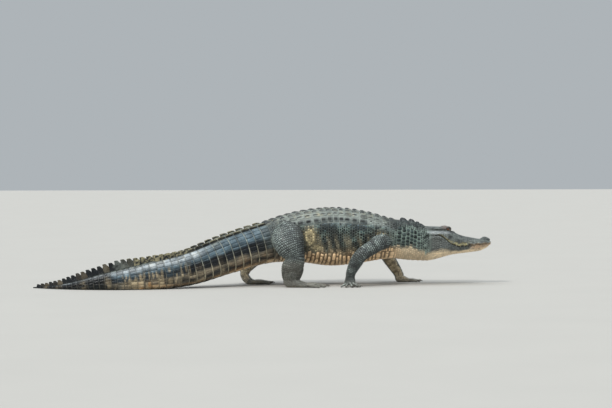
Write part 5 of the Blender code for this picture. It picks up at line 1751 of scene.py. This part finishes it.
def make_foot_scales():
    """Scales over the feet and broad scutes along the top of each digit."""
    pieces = []
    for name in FEET:
        hide, joined = limb_hide(name), Joined(f"{name}_foot_scales")
        coat = shape["feet"][name]
        edges = even_rows(0.004, coat.along[-1] - 0.003, 0.0105, 0.0095)
        scales = bricks(edges, even_widths(0.0110), constant(0.0), lambda s: 0.62 * coat.half_girth(s), 0.2)
        s, m, long_, wide = scales.T
        top = lambda points, s, g: hide(points, s, foot_share(name, coat, s, g))
        grow(joined, coat, s, m / coat.half_girth(s), long_ * 0.93, wide * 0.92, domed(0.0019), top, (SMALL, SMALL), 0.6, 0.0018)
        scales = bricks(edges, even_widths(0.0085), lambda s: 0.62 * coat.half_girth(s), lambda s: coat.half_girth(s), 0.2)
        s, m, long_, wide = scales.T
        grow(joined, coat, s, m / coat.half_girth(s), long_ * 0.92, wide * 0.92, domed(0.0010), top, (SMALL, SMALL), 0.6, 0.0015)
        for (foot, _), digit in shape["digits"].items():
            if foot != name:
                continue
            above = lambda points, s, g: hide(points, s, np.full(np.shape(s), 0.3))
            edges = even_rows(0.028, digit.along[-1] - 0.0015, 0.0088, 0.0062)
            s = (edges[1:] + edges[:-1]) / 2
            long_ = np.diff(edges) / 2
            grow(joined, digit, s, 0 * s, long_ * 0.97, digit.half_girth(s) * 0.40, domed(0.0016, 0.35, 0.5), above, (MEDIUM, WIDE), 0.3, 0.0014)
            for side in (1, -1):
                grow(joined, digit, s, 0 * s + side * 0.60, long_ * 0.92, digit.half_girth(s) * 0.17, domed(0.0010, 0.1, 0.5), above, (SMALL, SMALL), 0.4, 0.0012)
        pieces.append(joined.piece(material("limb")))
    return pieces


def make_head_scales():
    """The lip's and jaw's rows of scales, flat scales on the cheek and small ones under the jaw."""
    coat, joined = shape["head_coat"], Joined("head_scales")
    half = coat.half_girth

    def share_at(s, index):
        return np.interp(s, coat.along, coat.shares[:, index])

    def along(x):
        return np.interp(x, coat.x, coat.along)

    def lip(s):
        return share_at(s, UPPER) * half(s)

    def jaw(s):
        return share_at(s, UPPER + GROOVE) * half(s)

    # One row of scales along each lip, and a second under the lower one.
    rows = (
        (1.205, 1.548, 0.0185, 0.0150, lambda s: lip(s) - 0.0150, lambda s: lip(s) - 0.0010, 0.0017),
        (1.215, 1.540, 0.0230, 0.0170, lambda s: jaw(s) + 0.0010, lambda s: jaw(s) + 0.0170, 0.0016),
        (1.215, 1.530, 0.0250, 0.0180, lambda s: jaw(s) + 0.0175, lambda s: jaw(s) + 0.0340, 0.0014),
    )
    for start, end, first, last, upper, lower, high in rows:
        edges = along(even_rows(start, end, first, last))
        scales = bricks(edges, lambda s, a, b: np.ones(1), upper, lower, 0.10, 0)
        s, m, long_, wide = scales.T
        grow(joined, coat, s, m / half(s), long_ * 0.95, wide * 0.95, domed(high, 0, 0.7), head_hide, (LONG, MEDIUM), 0.35, 0.0014, even=False)
    # The cheek behind the mouth.
    edges = along(even_rows(1.150, 1.262, 0.0175, 0.0150))
    scales = bricks(edges, even_widths(0.0150), lambda s: 0.095 + 0 * s, lambda s: lip(s) - 0.016, 0.25)
    s, m, long_, wide = scales.T
    grow(joined, coat, s, m / half(s), long_ * 0.94, wide * 0.94, domed(0.0013, 0, 0.6), head_hide, (MEDIUM, MEDIUM), 0.5, 0.0014)
    edges = along(even_rows(1.150, 1.215, 0.0160, 0.0165))
    scales = bricks(edges, even_widths(0.0155), lambda s: lip(s) - 0.014, lambda s: 0.80 * half(s), 0.2)
    s, m, long_, wide = scales.T
    grow(joined, coat, s, m / half(s), long_ * 0.94, wide * 0.94, domed(0.0017, 0, 0.6), head_hide, (MEDIUM, MEDIUM), 0.5, 0.0014)
    edges = along(even_rows(1.150, 1.545, 0.0130, 0.0105))
    scales = bricks(edges, even_widths(0.0125), lambda s: np.where(s < along(1.215), 0.80 * half(s), jaw(s) + 0.0345), lambda s: half(s), 0.2)
    s, m, long_, wide = scales.T
    grow(joined, coat, s, m / half(s), long_ * 0.93, wide * 0.93, domed(0.0011, 0, 0.5), head_hide, (SMALL, SMALL), 0.5, 0.0013)
    # Low uneven bosses down the sides of the snout.
    edges = along(even_rows(1.300, 1.535, 0.0150, 0.0120))
    scales = bricks(edges, even_widths(0.0135), lambda s: np.interp(s, along(np.array([1.30, 1.50])), (0.054, 0.050)), lambda s: lip(s) - 0.0165, 0.50)
    s, m, long_, wide = scales.T
    grow(joined, coat, s, m / half(s), long_ * 0.96, wide * 0.96, domed(0.0007, 0, 0.5), head_hide, (MEDIUM, MEDIUM), 0.6, 0.0012)
    # Rough flat bosses on the skull table and between the snout's ridges.
    edges = along(even_rows(1.135, 1.500, 0.0150, 0.0130))
    scales = bricks(edges, even_widths(0.0150), constant(0.0), lambda s: np.interp(s, along(np.array([1.13, 1.25, 1.32, 1.50])), (0.058, 0.055, 0.052, 0.050)), 0.35)
    s, m, long_, wide = scales.T
    grow(joined, coat, s, m / half(s), long_ * 0.97, wide * 0.97, domed(0.0009, 0, 0.4), head_hide, (MEDIUM, MEDIUM), 0.35, 0.0012)
    return joined.piece(material("head"))


# Eyes, lids, ears, teeth and claws


def side_word(side):
    return "left" if side > 0 else "right"


def make_eyes():
    pieces = []
    for side in (1, -1):
        x, y, z = EYE
        eye = ball(f"eyeball_{side_word(side)}", (x, side * y, z), (EYE_RADIUS,) * 3, 0.0, 48, 32)
        select_only(eye)
        bpy.ops.object.mode_set(mode="EDIT")
        bpy.ops.mesh.select_all(action="SELECT")
        # The clear front of a living eye stands a little proud.
        front = Vector(placed(x, side * (y + EYE_RADIUS), z))
        bpy.ops.mesh.select_all(action="DESELECT")
        bpy.ops.object.mode_set(mode="OBJECT")
        for vertex in eye.data.vertices:
            near = float(ramp(0.0085, 0.0, (vertex.co - front).length))
            vertex.co.y += side * 0.0009 * near
        finished(eye, "eye", 60)
        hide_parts(f"eye_{side_word(side)}")
        pieces.append(eye)
    return pieces


def finished(obj, material_name, angle=40):
    """Smooths a piece by its angles, gives it its material and makes it ride."""
    select_only(obj)
    bpy.ops.object.shade_smooth_by_angle(angle=math.radians(angle))
    obj.data.materials.clear()
    obj.data.materials.append(material(material_name))
    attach(obj, "root")
    return obj


def mark_all(obj, hides, rim=0.0):
    """Gives a modelled piece its own colours for the hide's material."""
    points = mesh_points(obj.data)
    colours = hides(points)
    add_marks(obj.data, colours, np.tile([rim, 0.5, 0.0], (len(points), 1)))


def make_lids():
    """The thick rims of the lids round each eye, and the heavy fold over it."""
    pieces = []
    for side in (1, -1):
        x, y, z = EYE
        for word, radius, tube, wide, high, out, up in (
            ("rim", 1.0, 0.0021, 0.0158, 0.0090, 0.0160, 0.0004),
            ("fold", 1.0, 0.0030, 0.0215, 0.0150, 0.0125, 0.0016),
        ):
            bpy.ops.object.select_all(action="DESELECT")
            bpy.ops.mesh.primitive_torus_add(major_segments=56, minor_segments=12, major_radius=0.01, minor_radius=0.001, rotation=(math.pi / 2, 0, 0))
            lid = bpy.context.active_object
            lid.name = lid.data.name = f"lid_{word}_{side_word(side)}"
            bpy.ops.object.transform_apply(location=True, rotation=True, scale=True)
            bpy.ops.object.mode_set(mode="EDIT")
            bpy.ops.mesh.select_all(action="SELECT")
            bpy.ops.mesh.subdivide(number_cuts=1)
            bpy.ops.object.mode_set(mode="OBJECT")
            for vertex in lid.data.vertices:
                around = math.atan2(vertex.co.z, vertex.co.x)
                along = math.hypot(vertex.co.x, vertex.co.z) - 0.01
                thick = tube / 0.001 * (0.75 + 0.35 * math.sin(around)) * (0.65 + 0.35 * abs(math.sin(around)) ** 0.5)
                edge = Vector((math.cos(around) * wide, 0, math.sin(around) * high))
                lift = out - 0.0050 * math.cos(around) ** 2 + 0.0016 * math.sin(around)
                centre = Vector(placed(x, side * (y + lift), z + up)) + edge
                vertex.co = centre + Vector((math.cos(around) * along * thick, vertex.co.y * thick, math.sin(around) * along * thick))
            low_pale = lambda points, z=z: blend(blend(head_hide(points), tone("head_dark"), 0.3), tone("belly_tan"), 0.75 * ramp(z - 0.003, z - 0.008, points[:, 2]))
            mark_all(lid, low_pale)
            pieces.append(finished(lid, "head", 180))
    return pieces


def make_ears():
    """Long movable flaps over the ears, thicker at their upper edge."""
    pieces = []
    for side in (1, -1):
        x, y, z = EAR
        flap = ball(f"ear_flap_lid_{side_word(side)}", (x, side * (y - 0.0002), z), (0.0330, 0.0038, 0.0063), 0.04, 40, 20)
        centre = Vector(placed(x, side * y, z))
        for vertex in flap.data.vertices:
            offset = vertex.co - centre
            # The free lower edge is thinner, and the rear end is drawn down.
            vertex.co.y = centre.y + offset.y * (0.65 + 0.35 * float(ramp(-0.006, 0.006, offset.z)))
            vertex.co.z -= 0.0030 * float(ramp(0.0, -0.034, offset.x))
        mark_all(flap, lambda points: blend(head_hide(points), tone("head_dark"), 0.35))
        finished(flap, "head", 180)
        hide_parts(f"ear_flap_{side_word(side)}")
        pieces.append(flap)
    return pieces


def make_teeth():
    """The upper teeth that show outside the lower jaw when the mouth is shut."""
    cones = []
    for i in range(12):
        share = i / 11
        x = 1.285 + (SNOUT_TIP - 0.012 - 1.285) * share**0.85
        size = 0.8 + 0.35 * math.sin(2.4 * math.pi * share + 0.6)
        lip = float(lip_height(x))
        half = float(smooth(HEAD, x, 4)) * float(closing(x, SNOUT_TIP)) - 0.0044
        for side in (1, -1):
            bpy.ops.object.select_all(action="DESELECT")
            bpy.ops.mesh.primitive_cone_add(vertices=14, radius1=0.0034, radius2=0.0006, depth=0.006 + 0.0063 * size, end_fill_type="NGON")
            cone = bpy.context.active_object
            bpy.ops.object.mode_set(mode="EDIT")
            bpy.ops.mesh.select_all(action="SELECT")
            bpy.ops.mesh.subdivide(number_cuts=3)
            bpy.ops.object.mode_set(mode="OBJECT")
            for vertex in cone.data.vertices:
                t = 0.5 + vertex.co.z / (0.006 + 0.0063 * size)
                bulge = 1 + 0.35 * math.sin(math.pi * t)
                vertex.co.x, vertex.co.y = vertex.co.x * bulge, vertex.co.y * bulge * 0.85 - side * 0.0010 * t * t
                vertex.co.z *= -1
            middle = placed(x, side * half, lip + 0.006 - (0.006 + 0.0063 * size) / 2)
            cone.data.transform(Matrix.Translation(Vector(middle)))
            cone.data.flip_normals()
            cones.append(cone)
    bpy.ops.object.select_all(action="DESELECT")
    for cone in cones:
        cone.select_set(True)
    bpy.context.view_layer.objects.active = cones[0]
    bpy.ops.object.join()
    teeth = bpy.context.active_object
    teeth.name = teeth.data.name = "teeth"
    return [finished(teeth, "tooth", 50)]


def make_claws():
    """Curved claws on the three inner digits of each foot."""
    pieces = []
    for name in FEET:
        for i, (_, _, _, radius, drop, tip, direction) in enumerate(digits_of(name)[:CLAWED_DIGITS]):
            size = radius / 0.0125
            tip_z = drop
            across = np.array([-direction[1], direction[0], 0])
            word = name.split("_")
            share = np.linspace(0, 1, 15)[:, None]
            angle = np.linspace(0, 2 * math.pi, 18, endpoint=False)[None]
            thick = CLAW_RADIUS * size * 0.96 * (1 - 0.93 * share**1.25)
            along = -0.008 + CLAW_LENGTH * size * share
            height = tip_z + 0.004 + 0.0042 * np.sin(math.pi * share) - (tip_z + 0.0020) * share**2
            spot = np.array(tip) * [1, 1, 0] + direction * along[..., None]
            point = spot + across * (thick * 0.72 * np.cos(angle))[..., None]
            point[..., 2] = np.maximum(height + thick * np.sin(angle), FLOOR_CLEAR)
            claw = tube_object(f"claw_{word[0]}_{word[1]}_{i + 1}_horn", placed(point[..., 0], point[..., 1], point[..., 2]))
            finished(claw, "claw", 50)
            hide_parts(f"claw_{word[0]}_foot_{word[1]}_{i + 1}")
            pieces.append(claw)
    return pieces


# The studio


def make_studio():
    bpy.ops.object.select_all(action="DESELECT")
    bpy.ops.mesh.primitive_plane_add(size=60, location=(0, 0, 0))
    floor = bpy.context.active_object
    floor.name = floor.data.name = "floor"
    floor.data.materials.append(material("floor"))
    place = placed(*CAMERA_PLACE)
    camera = bpy.data.objects.new("camera", bpy.data.cameras.new("camera"))
    bpy.context.scene.collection.objects.link(camera)
    turn, tilt = math.radians(CAMERA_TURN), math.radians(CAMERA_TILT)
    ahead = Vector((math.sin(turn) * math.cos(tilt), math.cos(turn) * math.cos(tilt), -math.sin(tilt)))
    camera.location = Vector(place)
    camera.rotation_euler = ahead.to_track_quat("-Z", "Y").to_euler()
    camera.data.lens, camera.data.sensor_width = CAMERA_LENS, 36
    camera.data.clip_end = 200
    bpy.context.scene.camera = camera
    for name, at, spread, power, tint in (
        ("sky", (-0.8, -1.4, 9.0), 70, 2.9, (0.94, 0.98, 1.0)),
        ("key", (-4.6, -5.6, 6.8), 11, 1.9, (1.0, 0.97, 0.91)),
    ):
        light = bpy.data.objects.new(name, bpy.data.lights.new(name, "SUN"))
        bpy.context.scene.collection.objects.link(light)
        light.data.angle, light.data.energy, light.data.color = math.radians(spread), power, tint
        light.location = at
        light.rotation_euler = (-Vector(at)).to_track_quat("-Z", "Y").to_euler()
    world = bpy.data.worlds.new("pale room")
    bpy.context.scene.world = world
    world.use_nodes = True
    world.node_tree.nodes["Background"].inputs[0].default_value = (0.88, 0.95, 1.0, 1)
    world.node_tree.nodes["Background"].inputs[1].default_value = 0.48
    bpy.context.scene.view_settings.view_transform = "Standard"


# The add-on


def colour(name, description, default):
    return bpy.props.FloatVectorProperty(name=name, description=description, default=default, subtype="COLOR", size=3, min=0, max=1)


def length(name, description, default):
    return bpy.props.FloatProperty(name=name, description=description, default=default, unit="LENGTH", min=0, precision=4)


class AlligatorLooks(bpy.types.PropertyGroup):
    """The sizes and colours that a user would change."""

    skin_depth: length("Skin depth", "How far the skin lies inside the solid body", 0.002)
    scute_keel: length("Scute keel", "Height of the keels on the back", 0.0105)
    limb_scale: length("Limb scale", "Width of the scales outside the limbs", 0.0132)
    slate_dark: colour("Slate, dark", "The darker grey of the back", (0.024, 0.033, 0.033))
    slate_pale: colour("Slate, pale", "The lighter grey of the back", (0.180, 0.202, 0.184))
    flank_black: colour("Flank black", "The scales of the flanks", (0.007, 0.012, 0.012))
    # Tail blue stands partly for a painted bluish sky sheen on the upper tail and high on the flank.
    tail_blue: colour("Tail blue", "The upper sides of the tail", (0.066, 0.100, 0.122))
    tail_brown: colour("Tail brown", "The lower sides of the tail", (0.225, 0.188, 0.134))
    tail_orange: colour("Tail orange", "Patches low on the tail", (0.400, 0.220, 0.090))
    band_cream: colour("Band cream", "The pale bands across the tail", (0.400, 0.320, 0.200))
    belly_tan: colour("Belly tan", "Edges of the belly and throat", (0.800, 0.580, 0.350))
    belly_cream: colour("Belly cream", "The belly and throat", (0.680, 0.540, 0.360))
    groin_yellow: colour("Groin yellow", "Patches at the groin and shoulder", (0.400, 0.335, 0.195))
    gap_cream: colour("Seam cream", "Bare skin between the scales of the sides", (0.400, 0.350, 0.240))
    net_grey: colour("Net grey", "The net of bare skin round the scales of the flanks and neck", (0.108, 0.145, 0.124))
    flank_tan: colour("Flank tan", "Dull tan streaks low on the flanks", (0.180, 0.162, 0.110))
    crest_yellow: colour("Crest yellow", "Worn tips of the crests and keels", (0.380, 0.340, 0.210))
    crest_black: colour("Crest black", "The tall crest near the tail tip", (0.008, 0.010, 0.012))
    rim_grey: colour("Rim grey", "Worn rims of the scales", (0.230, 0.255, 0.230))
    limb_grey: colour("Limb grey", "Outer sides of the limbs", (0.175, 0.208, 0.194))
    limb_dark: colour("Limb, dark", "Darker patches of the limbs", (0.050, 0.064, 0.064))
    limb_tan: colour("Limb tan", "Inner sides of the limbs", (0.700, 0.590, 0.390))
    dust: colour("Dust", "Dry mud on the feet", (0.420, 0.400, 0.340))
    head_grey: colour("Head grey", "The top and cheeks of the head", (0.108, 0.126, 0.116))
    head_dark: colour("Head, dark", "Darker patches of the head", (0.028, 0.033, 0.033))
    # This colour is painted highlight on the skull table, the cheek ridge and the upper and rear tail.
    highlight_grey: colour("Head, light", "Worn bone of the skull table and the cheek ridge", (0.250, 0.272, 0.285))
    brow_brown: colour("Brow brown", "The brows", (0.150, 0.080, 0.065))
    lip_yellow: colour("Lip yellow", "The band along the upper lip", (0.300, 0.260, 0.120))
    jaw_grey: colour("Jaw grey", "The sides of the lower jaw", (0.074, 0.082, 0.078))
    jaw_pink: colour("Jaw pink", "The front of the lower jaw", (0.780, 0.530, 0.325))
    iris_dark: colour("Iris, dark", "The darker red-brown of the iris", (0.070, 0.018, 0.008))
    iris_gold: colour("Iris, gold", "The lighter spokes of the iris", (0.260, 0.090, 0.030))
    claw_dark: colour("Claw, dark", "Horn at the claws' roots", (0.045, 0.040, 0.035))
    claw_pale: colour("Claw, pale", "Worn horn", (0.220, 0.190, 0.150))
    tooth_ivory: colour("Tooth ivory", "The teeth", (0.560, 0.480, 0.340))


class SkinOperator(bpy.types.Operator):
    """Makes the one skin of the whole animal"""

    bl_idname, bl_label = "alligator.skin", "Skin"

    def execute(self, context):
        shape.update(measure())
        skin = make_skin()
        select_only(skin)
        bpy.ops.object.shade_smooth()
        skin.data.materials.clear()
        skin.data.materials.append(material("skin"))
        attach(skin, "root")
        limbs = [f"{part}_{side}" for part in ("thigh", "shank", "hind_foot", "upper_arm", "forearm", "fore_foot") for side in SIDES]
        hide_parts(*FLESH, *limbs)
        return {"FINISHED"}


def settle(made):
    """Lets finished pieces ride on the still body."""
    for piece in made if isinstance(made, list) else [made]:
        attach(piece, "root")
    return {"FINISHED"}


class BackOperator(bpy.types.Operator):
    """Makes the keeled scutes in rows along the back"""

    bl_idname, bl_label = "alligator.back", "Back scutes"

    def execute(self, context):
        return settle(make_back_scutes())


class NapeOperator(bpy.types.Operator):
    """Makes the large scutes of the nape and the knobs between them"""

    bl_idname, bl_label = "alligator.nape", "Nape scutes"

    def execute(self, context):
        return settle(make_nape_scutes())


class SidesOperator(bpy.types.Operator):
    """Makes the scales of the flanks, the neck's sides and the throat"""

    bl_idname, bl_label = "alligator.sides", "Flank and neck scales"

    def execute(self, context):
        return settle([make_flank_scales(), *make_neck_scales()])


class BellyOperator(bpy.types.Operator):
    """Makes the flat plates of the belly"""

    bl_idname, bl_label = "alligator.belly", "Belly plates"

    def execute(self, context):
        return settle(make_belly_plates())


class TailOperator(bpy.types.Operator):
    """Makes the whorls of plates round the tail and its crests"""

    bl_idname, bl_label = "alligator.tail", "Tail plates and crests"

    def execute(self, context):
        return settle([make_tail_plates(), make_tail_crest()])


class LimbOperator(bpy.types.Operator):
    """Makes the scales of the limbs and the scutes of the feet"""

    bl_idname, bl_label = "alligator.limbs", "Limb and foot scales"

    def execute(self, context):
        return settle(make_limb_scales() + make_foot_scales())


class HeadOperator(bpy.types.Operator):
    """Makes the scales of the lips, the jaw, the cheeks and the skull table"""

    bl_idname, bl_label = "alligator.head", "Head scales"

    def execute(self, context):
        return settle(make_head_scales())


class EyesOperator(bpy.types.Operator):
    """Makes the eyes with their lids, and the flaps over the ears"""

    bl_idname, bl_label = "alligator.eyes", "Eyes, lids and ears"

    def execute(self, context):
        make_eyes()
        make_lids()
        make_ears()
        return {"FINISHED"}


class TeethOperator(bpy.types.Operator):
    """Makes the teeth that show outside the shut mouth"""

    bl_idname, bl_label = "alligator.teeth", "Teeth"

    def execute(self, context):
        make_teeth()
        return {"FINISHED"}


class ClawsOperator(bpy.types.Operator):
    """Makes the curved claws of the three inner digits of each foot"""

    bl_idname, bl_label = "alligator.claws", "Claws"

    def execute(self, context):
        make_claws()
        return {"FINISHED"}


class StudioOperator(bpy.types.Operator):
    """Makes the floor, the soft lights and the camera"""

    bl_idname, bl_label = "alligator.studio", "Studio"

    def execute(self, context):
        make_studio()
        return {"FINISHED"}


OPERATORS = (
    SkinOperator,
    BackOperator,
    NapeOperator,
    SidesOperator,
    BellyOperator,
    TailOperator,
    LimbOperator,
    HeadOperator,
    EyesOperator,
    TeethOperator,
    ClawsOperator,
    StudioOperator,
)


class AlligatorPanel(bpy.types.Panel):
    """Lists the steps that build the alligator, with its sizes and colours."""

    bl_idname, bl_label = "VIEW3D_PT_alligator", "Walking alligator"
    bl_space_type, bl_region_type, bl_category = "VIEW_3D", "UI", "Alligator"

    def draw(self, context):
        for step in OPERATORS:
            self.layout.operator(step.bl_idname)
        for name in AlligatorLooks.__annotations__:
            self.layout.prop(context.scene.alligator_looks, name)


def register():
    for kind in (AlligatorLooks, *OPERATORS, AlligatorPanel):
        bpy.utils.register_class(kind)
    bpy.types.Scene.alligator_looks = bpy.props.PointerProperty(type=AlligatorLooks)


def unregister():
    del bpy.types.Scene.alligator_looks
    for kind in (AlligatorPanel, *reversed(OPERATORS), AlligatorLooks):
        bpy.utils.unregister_class(kind)


def main():
    register()
    for step in OPERATORS:
        group, name = step.bl_idname.split(".")
        getattr(getattr(bpy.ops, group), name)()


if __name__ == "__main__":
    main()
